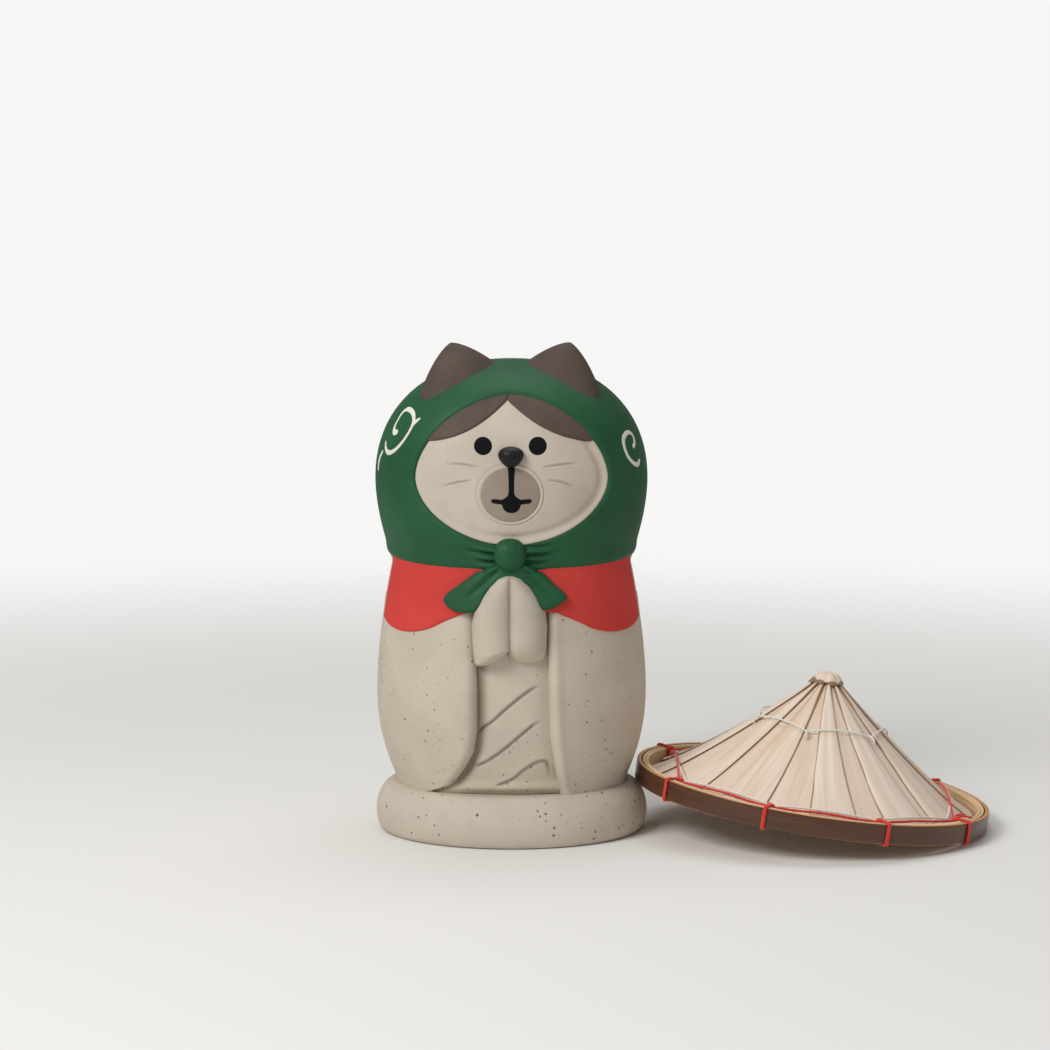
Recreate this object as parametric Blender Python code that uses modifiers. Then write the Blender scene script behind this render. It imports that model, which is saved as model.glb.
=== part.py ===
"""A praying cat figurine in a tied hood and a bib, with a loose leaf hat beside it.

The figurine stands on a round plinth and faces -Y. The origin is the middle of the
plinth's underside, +Z is up and +X is to the viewer's right. The hat lies at the right
with one side of its hoop on the plinth's shoulder, and lifts off along its own slide.
"""

import math

import bmesh
import bpy
from mathutils import Matrix, Vector

MM = 0.001

# Fit between pieces that touch, and how far a cutting tool runs past what it cuts.
CLEAR = 0.3 * MM
SPARE = 3.0 * MM
MERGE = 0.001 * MM

# The figurine is about as wide at its plinth, its robe and its head.
FIGURE_WIDTH = 68.6 * MM

# Plinth.
PLINTH_WIDTH = FIGURE_WIDTH
PLINTH_HEIGHT = 12.3 * MM
PLINTH_FOOT_WIDTH = 65.2 * MM
PLINTH_WIDEST = 4.8 * MM
PLINTH_TOP_WIDTH = 58.8 * MM

# Robe: the body below the hood.
ROBE_FOOT_WIDTH = 57.2 * MM
ROBE_INSET = 0.3 * MM
ROBE_WIDTH = FIGURE_WIDTH - 2 * ROBE_INSET
ROBE_WIDEST = 23.5 * MM
ROBE_HEIGHT = 55.9 * MM
NECK_WIDTH = 60.0 * MM
BODY_FLATTEN = 0.87

# Head under the hood, measured up from the neck.
HEAD_WIDTH = FIGURE_WIDTH
HEAD_WIDEST = 20.4 * MM
HEAD_HEIGHT = 50.7 * MM
DOME_POWER = 2.2

# Hem of the hood, which drops towards the front.
HEM_RISE = 1.8 * MM
HEM_TILT = math.radians(4.2)

# Opening of the hood and the face in it.
FACE_WIDTH = 48.0 * MM
FACE_MIDDLE = 22.8 * MM
FACE_UP = 20.3 * MM
FACE_DOWN = 16.2 * MM
FACE_SINK = 1.0 * MM
FACE_DEPTH = 3.6 * MM
FACE_ROUND_UP = 1.75
FACE_ROUND_DOWN = 1.9

# Hair, eyes and muzzle, placed from the middle of the face. The nose stands at the top of
# the muzzle, and the mouth is placed from the muzzle's middle.
HAIR_PROUD = 0.45 * MM
HAIR_DEPTH = 1.2 * MM
HAIR_FALL = 12.2 * MM
HAIR_END = 7.7 * MM
HAIR_SWEEP = 2.6
EYE_WIDTH = 4.6 * MM
EYE_SPREAD = 13.7 * MM
EYE_HEIGHT = 8.3 * MM
EYE_DEPTH = 1.0 * MM
NOSE_WIDTH = 6.6 * MM
NOSE_TALL = 5.4 * MM
NOSE_DEEP = 6.4 * MM
NOSE_RISE = 2.1 * MM
NOSE_TAPER = 0.5
MUZZLE_WIDTH = 15.4 * MM
MUZZLE_TALL = 13.8 * MM
MUZZLE_DROP = 3.7 * MM
MUZZLE_SINK = 0.2 * MM
MUZZLE_DEPTH = 1.6 * MM
MOUTH_WIDTH = 10.2 * MM
MOUTH_ROUND = 4.8 * MM
MOUTH_LINE = 1.3 * MM
MOUTH_DROP = 1.8 * MM
MOUTH_PROUD = 0.1 * MM
MOUTH_DEPTH = 0.8 * MM
LIP_LIFT = 0.4 * MM

# Ears, which stand on the hood.
EAR_SPREAD = 30.0 * MM
EAR_REACH = 4.3 * MM
EAR_TILT = math.radians(16.0)
EAR_WIDTH = 30.0 * MM
EAR_HEIGHT = 18.5 * MM
EAR_FLATTEN = 0.88
EAR_FORWARD = 7.4 * MM
EAR_POWER = 1.3

# Bib: a thin shell on the robe below the hem. Its lower edge runs from the middle through
# a lobe to the side, in shares of the lobe's distance across and of its drop.
BIB_PROUD = 0.5 * MM
BIB_DEPTH = 1.2 * MM
BIB_BACK = 6.0 * MM
BIB_LOBE = 25.3 * MM
BIB_DROP = 17.7 * MM
BIB_EDGE = [(0, 0.66), (0.36, 0.66), (0.6, 0.78), (0.8, 0.93), (1, 1), (1.17, 0.97), (1.27, 0.82)]

# Knot and tails of the hood. A tail's edge is in shares of its reach and of its drop.
KNOT_WIDTH = 8.0 * MM
KNOT_TALL = 8.4 * MM
KNOT_DEEP = 8.0 * MM
KNOT_ROUND = 2.7 * MM
KNOT_PROUD = 3.0 * MM
TAIL_THICK = 1.8 * MM
TAIL_REACH = 15.7 * MM
TAIL_DROP = 9.8 * MM
TAIL_POINT = 12.6 * MM
TAIL_ROOT = 3.0 * MM
TAIL_LOBE_EDGE = [(0.47, 0.04), (0.75, 0.3), (0.97, 0.62), (1, 0.85), (0.82, 1), (0.62, 0.97), (0.42, 0.36)]
TAIL_POINT_EDGE = [(0.5, 0.08), (0.78, 0.36), (1, 0.64), (0.84, 0.86), (0.62, 0.92), (0.45, 0.5)]

# Sleeves, the sunk front of the robe between them and its folds.
SLEEVE_THICK = 3.0 * MM
SLEEVE_INNER = 9.4 * MM
SLEEVE_TOP_DROP = 10.0 * MM
SLEEVE_BACK = 8.0 * MM
SLEEVE_LEAN = math.radians(8.0)
SLEEVE_CORNER = 11.0 * MM
SLEEVE_SWAY = 0.6 * MM
SLEEVE_FLARE = 3.0 * MM
FRONT_TOP_DROP = 12.0 * MM
FRONT_UNDER = 1.5 * MM
FRONT_SINK = 2.6 * MM

# Folds carved in the sunk front, as millimetres across and above the plinth.
FOLD_WIDTH = 1.2 * MM
FOLDS = [
    [(-7.5, 17.2), (-1.4, 22.2), (4.1, 26.6), (8.4, 27.8)],
    [(-8.6, 7.4), (-1.9, 11.8), (4.6, 17.4), (8.6, 18.8)],
    [(-3.2, 1.9), (3.0, 5.8), (8.4, 8.2), (10.4, 4.2)],
]

# Paws, held together in front of the chest.
PAW_WIDTH = 9.8 * MM
PAW_TALL = 23.0 * MM
PAW_DEEP = 12.0 * MM
PAW_PROUD = 3.4 * MM
PAW_MIDDLE = 3.9 * MM
PAW_TILT = math.radians(4.0)
PAW_DROP = 0.6 * MM
PAW_FULLNESS = 2.5

# Hat: two hoops, leaves in two layers, rings under them and threads over them.
HOOP_WIDTH = 90.0 * MM
HOOP_HEIGHT = 4.9 * MM
HOOP_OUTER_WALL = 1.1 * MM
HOOP_INNER_WALL = 1.5 * MM
HOOP_CHAMFER = 0.3 * MM
CONE_RISE = 31.4 * MM
CONE_FOOT = 1.6 * MM
CONE_POWER = 1.18
LEAF_COUNT = 24
LEAF_THICK = 0.5 * MM
LEAF_UPPER_SPAN = math.radians(17.0)
LEAF_LOWER_SPAN = math.radians(21.0)
LEAF_START = 1.4 * MM
PEAK_WIDTH = 7.0 * MM
PEAK_THICK = 0.7 * MM
RING_THICK = 1.4 * MM
RING_UPPER_WIDTH = 31.0 * MM
RING_LOWER_INSET = 2.6 * MM
RED_THICK = 0.7 * MM
RED_JOIN = 0.14 * MM
WHITE_THICK = 0.6 * MM
LASHINGS = [math.radians(a) for a in (36, 72, 110, 149, 211, 250, 288, 324)]
WHITE_UPPER_WIDTH = 32.0 * MM
WHITE_UPPER_CORNERS = 6
WHITE_UPPER_TURN = 0.2
WHITE_LOWER_INSET = 2.6 * MM

# Where the hat rests: how far its hoop reaches over the plinth.
HAT_REACH = 3.0 * MM

# How finely round shapes are cut.
SHOULDER_STEPS = 6
FOOT_STEPS = 3
BODY_STEPS = 44
ROBE_STEPS = 10
DOME_STEPS = 8
CHEEK_STEPS = 4
FACE_STEPS = 36
EAR_STEPS = 24
HOOP_STEPS = 40
RING_STEPS = 30
PEAK_STEPS = 20

# Colours as red, green and blue from 0 to 255, then roughness.
FINISHES = {
    "stone": ((196, 184, 167), 0.85),
    "hood_green": ((40, 98, 66), 0.62),
    "bib_red": ((208, 72, 62), 0.6),
    "fur_brown": ((98, 86, 78), 0.7),
    "face_cream": ((206, 194, 178), 0.75),
    "muzzle_taupe": ((165, 150, 136), 0.75),
    "ink_black": ((28, 31, 36), 0.4),
    "bamboo_dark": ((104, 62, 36), 0.5),
    "bamboo_light": ((222, 186, 140), 0.55),
    "leaf": ((228, 210, 188), 0.8),
    "thread_red": ((204, 50, 36), 0.7),
    "thread_white": ((234, 228, 220), 0.8),
}


def srgb(value):
    """Turn one colour value from 0 to 255 into Blender's linear 0 to 1."""
    share = value / 255
    if share <= 0.04045:
        return share / 12.92
    return ((share + 0.055) / 1.055) ** 2.4


def new_collection(name):
    """Add a collection to the scene."""
    made = bpy.data.collections.new(name)
    bpy.context.scene.collection.children.link(made)
    return made


def new_material(name):
    """Make one finish a Principled material."""
    colour, roughness = FINISHES[name]
    material = bpy.data.materials.new(name)
    material.use_nodes = True
    shader = material.node_tree.nodes["Principled BSDF"]
    shader.inputs["Base Color"].default_value = [srgb(c) for c in colour] + [1.0]
    shader.inputs["Roughness"].default_value = roughness
    shader.inputs["Metallic"].default_value = 0.0
    material.diffuse_color = [srgb(c) for c in colour] + [1.0]
    return material


def place(thing, collection):
    """Put an object in its collection."""
    collection.objects.link(thing)
    return thing


def freeze(thing):
    """Apply an object's modifiers and its own placing, as one welded mesh."""
    bpy.context.view_layer.update()
    graph = bpy.context.evaluated_depsgraph_get()
    mesh = bpy.data.meshes.new_from_object(thing.evaluated_get(graph))
    mesh.transform(thing.matrix_world)
    body = bmesh.new()
    body.from_mesh(mesh)
    bmesh.ops.remove_doubles(body, verts=body.verts, dist=MERGE)
    bmesh.ops.recalc_face_normals(body, faces=body.faces)
    body.to_mesh(mesh)
    body.free()
    name = thing.name
    bpy.data.objects.remove(thing)
    frozen = bpy.data.objects.new(name, mesh)
    mesh.name = name
    return place(frozen, TOOLS)


def combine(solid, tool, operation):
    """Cut, join or overlap a solid with a tool, which is then removed."""
    step = solid.modifiers.new("Cut", "BOOLEAN")
    step.operation = operation
    step.solver = "EXACT"
    step.object = tool
    done = freeze(solid)
    bpy.data.objects.remove(tool)
    return done


def cut(solid, *tools):
    """Cut a solid with each tool in turn."""
    for tool in tools:
        solid = combine(solid, tool, "DIFFERENCE")
    return solid


def overlap(solid, tool):
    """Keep only what a solid shares with a tool."""
    return combine(solid, tool, "INTERSECT")


def finish(solid, name, material, round_angle=35):
    """Name a finished solid, give it its material and shade its round faces smooth."""
    solid.name = name
    solid.data.name = name
    TOOLS.objects.unlink(solid)
    place(solid, PARTS)
    solid.data.materials.clear()
    solid.data.materials.append(MATERIALS[material])
    solid.data.shade_smooth()
    solid.data.set_sharp_from_angle(angle=math.radians(round_angle))
    return solid


def turned(name, profile, steps, turn=math.tau, closed=False):
    """Turn a profile of (radius, height) points, given from the top down."""
    count = len(profile)
    edges = [(i, i + 1) for i in range(count - 1)]
    if closed:
        edges.append((count - 1, 0))
    mesh = bpy.data.meshes.new(name)
    mesh.from_pydata([(radius, 0, height) for radius, height in profile], edges, [])
    solid = place(bpy.data.objects.new(name, mesh), TOOLS)
    screw = solid.modifiers.new("Turn", "SCREW")
    screw.axis = "Z"
    screw.angle = turn
    screw.steps = steps
    screw.render_steps = steps
    screw.use_merge_vertices = turn == math.tau
    screw.merge_threshold = MERGE
    return solid


def moved_out(profile, by):
    """Move a profile's points out along its normals."""
    moved = []
    last = len(profile) - 1
    for index, (radius, height) in enumerate(profile):
        before = profile[max(index - 1, 0)]
        after = profile[min(index + 1, last)]
        along = Vector((after[0] - before[0], after[1] - before[1])).normalized()
        moved.append((max(radius - along.y * by, 0.0), height + along.x * by))
    return moved


def flattened(solid, by):
    """Squeeze a turned solid front to back, keeping its skin the same distance out."""
    for vertex in solid.data.vertices:
        reach = math.hypot(vertex.co.x, vertex.co.y)
        if reach > MERGE:
            inner = max(reach - by, 0.0)
            vertex.co.y *= (inner * BODY_FLATTEN + by) / reach
    return solid


def robe_radius(height):
    """Half the robe's width at a height above the plinth."""
    if height < ROBE_WIDEST:
        share = (ROBE_WIDEST - height) / ROBE_WIDEST
        return ROBE_WIDTH / 2 - (ROBE_WIDTH - ROBE_FOOT_WIDTH) / 2 * min(share, 1.0) ** 2.2
    share = (height - ROBE_WIDEST) / (ROBE_HEIGHT - ROBE_WIDEST)
    return ROBE_WIDTH / 2 - (ROBE_WIDTH - NECK_WIDTH) / 2 * min(share, 1.0) ** 1.7


def robe_skin(by=0.0, spare=0.0):
    """The robe's outer form, moved out by a distance and run on at both ends."""
    heights = [ROBE_HEIGHT * (1 - i / ROBE_STEPS) for i in range(ROBE_STEPS + 1)]
    side = moved_out([(robe_radius(height), height) for height in heights], by)
    top = ROBE_HEIGHT + HEAD_WIDEST / 2
    side = [(side[0][0], top)] + side
    bottom = CLEAR - spare
    side[-1] = (side[-1][0], bottom)
    profile = [(0.0, top)] + side + [(0.0, bottom)]
    solid = turned("robe_skin", profile, BODY_STEPS)
    solid.location.z = PLINTH_HEIGHT
    return flattened(freeze(solid), by)


def head_radius(height):
    """Half the head's width at a height above the neck."""
    if height < HEAD_WIDEST:
        share = (HEAD_WIDEST - height) / HEAD_WIDEST
        return HEAD_WIDTH / 2 - (HEAD_WIDTH - NECK_WIDTH) / 2 * min(share, 1.0) ** 1.75
    share = min((height - HEAD_WIDEST) / (HEAD_HEIGHT - HEAD_WIDEST), 1.0)
    return HEAD_WIDTH / 2 * (1 - share ** DOME_POWER) ** (1 / DOME_POWER)


def head_skin(by=0.0):
    """The head's outer form, moved out by a distance and run on below the hem."""
    rise = HEAD_HEIGHT - HEAD_WIDEST
    heights = []
    for i in range(DOME_STEPS + 1):
        heights.append(HEAD_WIDEST + rise * math.cos(math.pi / 2 * i / DOME_STEPS))
    for i in range(1, CHEEK_STEPS + 1):
        heights.append(HEAD_WIDEST * (1 - i / CHEEK_STEPS))
    side = moved_out([(head_radius(height), height) for height in heights], by)
    side[0] = (0.0, HEAD_HEIGHT + by)
    bottom = -SPARE
    profile = side + [(side[-1][0], bottom), (0.0, bottom)]
    solid = turned("head_skin", profile, BODY_STEPS)
    solid.location.z = NECK
    return flattened(freeze(solid), by)


def front_depth(across, height, by=0.0):
    """Y of the body's front skin at a place seen from the front."""
    if height > NECK:
        radius = head_radius(height - NECK)
    else:
        radius = robe_radius(height - PLINTH_HEIGHT)
    reach = math.sqrt(max(1 - (across / radius) ** 2, 0.0))
    return -(radius * BODY_FLATTEN * reach + by)


def above_hem(by):
    """A block over the slanted hem, with its underside moved up by a distance."""
    bpy.ops.mesh.primitive_cube_add(size=1)
    block = bpy.context.object
    size = HEAD_WIDTH * 2
    block.scale = (size, size, size)
    middle = Vector((0, 0, HEM + by / math.cos(HEM_TILT)))
    block.rotation_euler.x = HEM_TILT
    block.location = middle + Matrix.Rotation(HEM_TILT, 3, "X") @ Vector((0, 0, size / 2))
    return adopted(block)


def adopted(thing):
    """Move a primitive to the tools' collection, with its placing applied."""
    for owner in thing.users_collection:
        owner.objects.unlink(thing)
    place(thing, TOOLS)
    return freeze(thing)


def prism(outline, front, back):
    """A solid with an outline of (across, height) points, from y front to y back."""
    curve = bpy.data.curves.new("prism", "CURVE")
    curve.dimensions = "2D"
    curve.fill_mode = "BOTH"
    curve.extrude = (back - front) / 2
    spline = curve.splines.new("POLY")
    spline.points.add(len(outline) - 1)
    for point, (across, height) in zip(spline.points, outline):
        point.co = (across, height, 0, 1)
    spline.use_cyclic_u = True
    holder = place(bpy.data.objects.new("prism", curve), TOOLS)
    holder.rotation_euler.x = math.pi / 2
    holder.location.y = (front + back) / 2
    return freeze(holder)


def grown(outline, by):
    """Move a closed outline's points out by a distance."""
    count = len(outline)
    area = sum(outline[i - 1][0] * outline[i][1] - outline[i][0] * outline[i - 1][1] for i in range(count))
    turn = 1 if area > 0 else -1
    moved = []
    for index in range(count):
        here = Vector(outline[index])
        into = (here - Vector(outline[index - 1])).normalized()
        away = (Vector(outline[(index + 1) % count]) - here).normalized()
        along = (into + away).normalized()
        stretch = 1 / max(along.dot(into), 0.5)
        moved.append((here.x + along.y * turn * by * stretch, here.y - along.x * turn * by * stretch))
    return moved


def smooth(points, steps=4, closed=True):
    """Points on a smooth curve through a few chosen points."""
    count = len(points)
    spans = count if closed else count - 1
    curve = []
    for i in range(spans):
        if closed:
            four = [Vector(points[(i + k) % count]) for k in (-1, 0, 1, 2)]
        else:
            four = [Vector(points[min(max(i + k, 0), count - 1)]) for k in (-1, 0, 1, 2)]
        for step in range(steps):
            t = step / steps
            spot = (four[1] * 2 + (four[2] - four[0]) * t
                    + (four[0] * 2 - four[1] * 5 + four[2] * 4 - four[3]) * t ** 2
                    + (four[1] * 3 - four[0] - four[2] * 3 + four[3]) * t ** 3) / 2
            curve.append(tuple(spot))
    if not closed:
        curve.append(tuple(points[-1]))
    return curve


def oval(half_width, up, down, middle, power_up=2.0, power_down=2.0, count=40):
    """A closed oval outline, with its own height and roundness above and below."""
    points = []
    for i in range(count):
        angle = math.tau * i / count
        sine = math.sin(angle)
        cosine = math.cos(angle)
        reach = up if sine > 0 else down
        power = power_up if sine > 0 else power_down
        across = half_width * math.copysign(abs(cosine) ** (2 / power), cosine)
        points.append((across, middle + reach * math.copysign(abs(sine) ** (2 / power), sine)))
    return points


def mirrored(outline):
    """The same outline on the other side of the figurine."""
    return [(-across, height) for across, height in outline]


def head_tile(outline, top, bottom, bounds=None):
    """A piece of the head's front between two skins, seen from the front as an outline."""
    tile = prism(outline, -HEAD_WIDTH, 0.0)
    if bounds is not None:
        tile = overlap(tile, prism(bounds, -HEAD_WIDTH * 1.1, 0.0))
    tile = overlap(tile, head_skin(top))
    return cut(tile, head_skin(bottom))


def head_pocket(outline, bottom):
    """The tool that cuts a pocket for a tile of the head's front."""
    return cut(prism(grown(outline, CLEAR), -HEAD_WIDTH * 1.2, 0.0), head_skin(bottom - CLEAR))


def face_outline():
    """The opening of the hood, seen from the front."""
    return oval(FACE_WIDTH / 2, FACE_UP, FACE_DOWN, FACE, FACE_ROUND_UP, FACE_ROUND_DOWN, FACE_STEPS)


def hair_outline(side):
    """One side's hair, from the parting down to the temple."""
    half = FACE_WIDTH / 2
    parting = CLEAR / 2
    points = []
    count = 9
    for i in range(count + 1):
        across = parting + (half - parting) * i / count
        share = max(1 - across / half, 0.0)
        points.append((across, FACE + HAIR_END + HAIR_FALL * share ** HAIR_SWEEP))
    points.append((half, FACE + FACE_UP + SPARE))
    points.append((parting, FACE + FACE_UP + SPARE))
    return points if side > 0 else mirrored(points)


def muzzle_outline():
    """The round muzzle."""
    half = MUZZLE_TALL / 2
    return oval(MUZZLE_WIDTH / 2, half, half, MUZZLE, count=32)


def mouth_outline():
    """A line down from the nose, a short bar and a round open mouth below it."""
    middle = MUZZLE - MOUTH_DROP
    line = MOUTH_LINE / 2
    top = MUZZLE + MUZZLE_TALL / 2 - LIP_LIFT - CLEAR
    half = [(line, top), (line, middle + line), (MOUTH_WIDTH / 2 - line, middle + line)]
    half.append((MOUTH_WIDTH / 2, middle))
    half.append((MOUTH_WIDTH / 2 - line, middle - line))
    radius = MOUTH_ROUND / 2
    start = math.asin(min(line / radius, 1.0))
    count = 5
    for i in range(count + 1):
        angle = start + (math.pi / 2 - start) * i / count
        half.append((radius * math.cos(angle), middle - radius * math.sin(angle)))
    return half + mirrored(half[:-1])[::-1]


def bib_outline():
    """The bib: a scalloped lower edge, and sides that run past the body."""
    edge = [(BIB_LOBE * across, HEM - BIB_DROP * down) for across, down in BIB_EDGE]
    side = ROBE_WIDTH / 2 + SPARE
    edge.append((side, edge[-1][1] + SPARE))
    half = smooth(edge, 3, closed=False)
    half.append((side, HEM + SPARE))
    return half + mirrored(half)[::-1][:-1]


def sleeve_outline(side):
    """One sleeve: its inner edge, a round lower corner and sides past the body."""
    top = HEM - SLEEVE_TOP_DROP
    foot = PLINTH_HEIGHT - SPARE
    knee = PLINTH_HEIGHT + SLEEVE_CORNER
    waist = (top + knee) / 2
    inner = SLEEVE_INNER
    outer = ROBE_WIDTH / 2 + SPARE
    if side > 0:
        edge = [(inner, top), (inner, waist), (inner + SLEEVE_SWAY, knee), (inner + SLEEVE_FLARE, foot)]
        edge = smooth(edge, 4, closed=False)
    else:
        toe = inner + SLEEVE_CORNER
        edge = [(inner, top), (inner - SLEEVE_SWAY, waist), (inner - SLEEVE_SWAY, knee)]
        edge += [(inner + SLEEVE_FLARE, PLINTH_HEIGHT + SLEEVE_CORNER / 2), (toe, PLINTH_HEIGHT)]
        edge = smooth(edge, 4, closed=False)
        edge.append((toe, foot))
    points = edge + [(outer, foot), (outer, top)]
    return points if side > 0 else mirrored(points)


def sleeve_block(side, by):
    """A sleeve's block through the body, cut by its leaning back edge."""
    outline = grown(sleeve_outline(side), by)
    block = prism(outline, -ROBE_WIDTH, ROBE_WIDTH)
    bpy.ops.mesh.primitive_cube_add(size=1)
    behind = bpy.context.object
    size = ROBE_WIDTH * 3
    behind.scale = (size, size, size)
    behind.rotation_euler.x = SLEEVE_LEAN
    edge = Vector((0, SLEEVE_BACK + by, PLINTH_HEIGHT + ROBE_HEIGHT / 2))
    behind.location = edge + Matrix.Rotation(SLEEVE_LEAN, 3, "X") @ Vector((0, size / 2, 0))
    return cut(block, adopted(behind))


def bib_pocket():
    """The tool that cuts the bib's seat."""
    block = prism(grown(bib_outline(), CLEAR), -ROBE_WIDTH * 1.2, -BIB_BACK + CLEAR)
    return cut(block, robe_skin(-BIB_DEPTH - CLEAR, SPARE))


def front_groove():
    """The tool that sinks the robe's front between the sleeves."""
    top = HEM - FRONT_TOP_DROP
    low = PLINTH_HEIGHT - SPARE
    reach = SLEEVE_INNER + FRONT_UNDER
    outline = [(-reach, top), (reach, top), (reach + SLEEVE_FLARE, low), (-reach - SLEEVE_CORNER, low)]
    block = prism(outline, -ROBE_WIDTH * 1.3, 0.0)
    return cut(block, robe_skin(-FRONT_SINK, SPARE * 2))


def tube(name, points, thick, cyclic=False, sides=1):
    """A round wire or thread through points, as a curve."""
    curve = bpy.data.curves.new(name, "CURVE")
    curve.dimensions = "3D"
    curve.bevel_depth = thick / 2
    curve.bevel_resolution = sides
    curve.use_fill_caps = True
    spline = curve.splines.new("POLY")
    spline.points.add(len(points) - 1)
    for point, spot in zip(spline.points, points):
        point.co = (*spot, 1)
    spline.use_cyclic_u = cyclic
    return place(bpy.data.objects.new(name, curve), TOOLS)


def fold_tools():
    """Tubes that carve the diagonal folds in the robe's front."""
    tools = []
    for fold in FOLDS:
        spots = []
        for across, height in smooth([(x * MM, z * MM) for x, z in fold], 3, closed=False):
            level = PLINTH_HEIGHT + height
            spots.append((across, front_depth(across, level, -FRONT_SINK), level))
        tools.append(freeze(tube("fold", spots, FOLD_WIDTH)))
    return tools


def make_plinth():
    """The round plinth: a rounded edge between a flat foot and a flat top."""
    foot = PLINTH_FOOT_WIDTH / 2
    wide = PLINTH_WIDTH / 2
    top = PLINTH_TOP_WIDTH / 2
    profile = [(0.0, PLINTH_HEIGHT), (top, PLINTH_HEIGHT)]
    for i in range(1, SHOULDER_STEPS + 1):
        radius = top + (wide - top) * math.sin(math.pi / 2 * i / SHOULDER_STEPS)
        profile.append((radius, shoulder_height(radius)))
    for i in range(1, FOOT_STEPS + 1):
        angle = math.pi / 2 * i / FOOT_STEPS
        profile.append((foot + (wide - foot) * math.cos(angle), PLINTH_WIDEST * (1 - math.sin(angle))))
    profile.append((0.0, 0.0))
    solid = flattened(freeze(turned("plinth", profile, BODY_STEPS)), 0.0)
    return finish(solid, "plinth", "stone")


def shoulder_height(radius):
    """Height of the plinth's rounded shoulder at a distance from its middle."""
    top = PLINTH_TOP_WIDTH / 2
    share = min(max((radius - top) / (PLINTH_WIDTH / 2 - top), 0.0), 1.0)
    return PLINTH_WIDEST + (PLINTH_HEIGHT - PLINTH_WIDEST) * math.sqrt(1 - share ** 2)


def make_robe():
    """The robe's body, with seats for the sleeves and the bib and a sunk front."""
    robe = cut(robe_skin(), above_hem(-CLEAR), front_groove())
    for side in (-1, 1):
        pocket = cut(sleeve_block(side, CLEAR), robe_skin(-SLEEVE_THICK - CLEAR, SPARE * 2))
        robe = cut(robe, pocket)
    robe = cut(robe, bib_pocket(), *fold_tools())
    return finish(robe, "robe", "stone")


def make_sleeve(side, name):
    """A sleeve: a shell round the side of the robe, under the bib at its top."""
    sleeve = overlap(sleeve_block(side, 0.0), robe_skin())
    sleeve = cut(sleeve, robe_skin(-SLEEVE_THICK, SPARE * 2), bib_pocket())
    return finish(sleeve, name, "stone")


def make_bib():
    """The bib, a thin shell over the chest."""
    bib = prism(bib_outline(), -ROBE_WIDTH, -BIB_BACK)
    bib = overlap(bib, robe_skin(BIB_PROUD, SPARE))
    bib = cut(bib, robe_skin(-BIB_DEPTH, SPARE * 2), above_hem(-CLEAR))
    return finish(bib, "bib", "bib_red")


def make_hood():
    """The hood: the head's form above the hem, with the seat of the face."""
    below = above_hem(0.0)
    hood = overlap(head_skin(), below)
    hood = cut(hood, head_pocket(face_outline(), -FACE_SINK - FACE_DEPTH))
    return finish(hood, "hood", "hood_green")


def make_face():
    """The face, with seats for the hair, the eyes and the muzzle."""
    face = head_tile(face_outline(), -FACE_SINK, -FACE_SINK - FACE_DEPTH)
    for side in (-1, 1):
        face = cut(face, head_pocket(hair_outline(side), -FACE_SINK - HAIR_DEPTH))
        face = cut(face, head_pocket(eye_outline(side), -FACE_SINK - EYE_DEPTH))
    face = cut(face, head_pocket(muzzle_outline(), -FACE_SINK - MUZZLE_SINK - MUZZLE_DEPTH))
    return finish(face, "face", "face_cream")


def eye_outline(side):
    """One round eye."""
    radius = EYE_WIDTH / 2
    middle = side * EYE_SPREAD / 2
    return [(middle + x, z) for x, z in oval(radius, radius, radius, FACE + EYE_HEIGHT, count=20)]


def make_features():
    """The hair, the eyes, the muzzle and the mouth, set into the face."""
    for side, name in ((-1, "left"), (1, "right")):
        hair = head_tile(hair_outline(side), HAIR_PROUD - FACE_SINK, -FACE_SINK - HAIR_DEPTH, face_outline())
        finish(hair, "hair_" + name, "fur_brown")
        eye = head_tile(eye_outline(side), -FACE_SINK, -FACE_SINK - EYE_DEPTH)
        finish(eye, "eye_" + name, "ink_black")
    sink = -FACE_SINK - MUZZLE_SINK
    muzzle = head_tile(muzzle_outline(), sink, sink - MUZZLE_DEPTH)
    muzzle = cut(muzzle, head_pocket(mouth_outline(), sink - MOUTH_DEPTH))
    finish(muzzle, "muzzle", "muzzle_taupe")
    mouth = head_tile(mouth_outline(), sink + MOUTH_PROUD, sink - MOUTH_DEPTH)
    finish(mouth, "mouth", "ink_black")


def ball(name, size, centre, tilt=0.0, segments=16, rings=10, fullness=2.0):
    """A ball stretched to a size, tilted in the front view. More fullness squares it."""
    bpy.ops.mesh.primitive_uv_sphere_add(segments=segments, ring_count=rings, radius=0.5)
    solid = bpy.context.object
    for vertex in solid.data.vertices:
        reach = sum(abs(value * 2) ** fullness for value in vertex.co) ** (1 / fullness)
        vertex.co /= reach
    solid.name = name
    solid.scale = size
    solid.rotation_euler.y = tilt
    solid.location = centre
    return adopted(solid)


def make_nose():
    """The nose: a button that is wider at its top, seated on the face."""
    level = MUZZLE + MUZZLE_TALL / 2 + NOSE_RISE
    nose = ball("nose", (NOSE_WIDTH, NOSE_DEEP, NOSE_TALL), (0, front_depth(0, level, -FACE_SINK), level))
    for vertex in nose.data.vertices:
        vertex.co.x *= 1 + NOSE_TAPER * (vertex.co.z - level) / NOSE_TALL
    nose = cut(nose, head_skin(-FACE_SINK + CLEAR))
    return finish(nose, "nose", "ink_black", 60)


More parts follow.
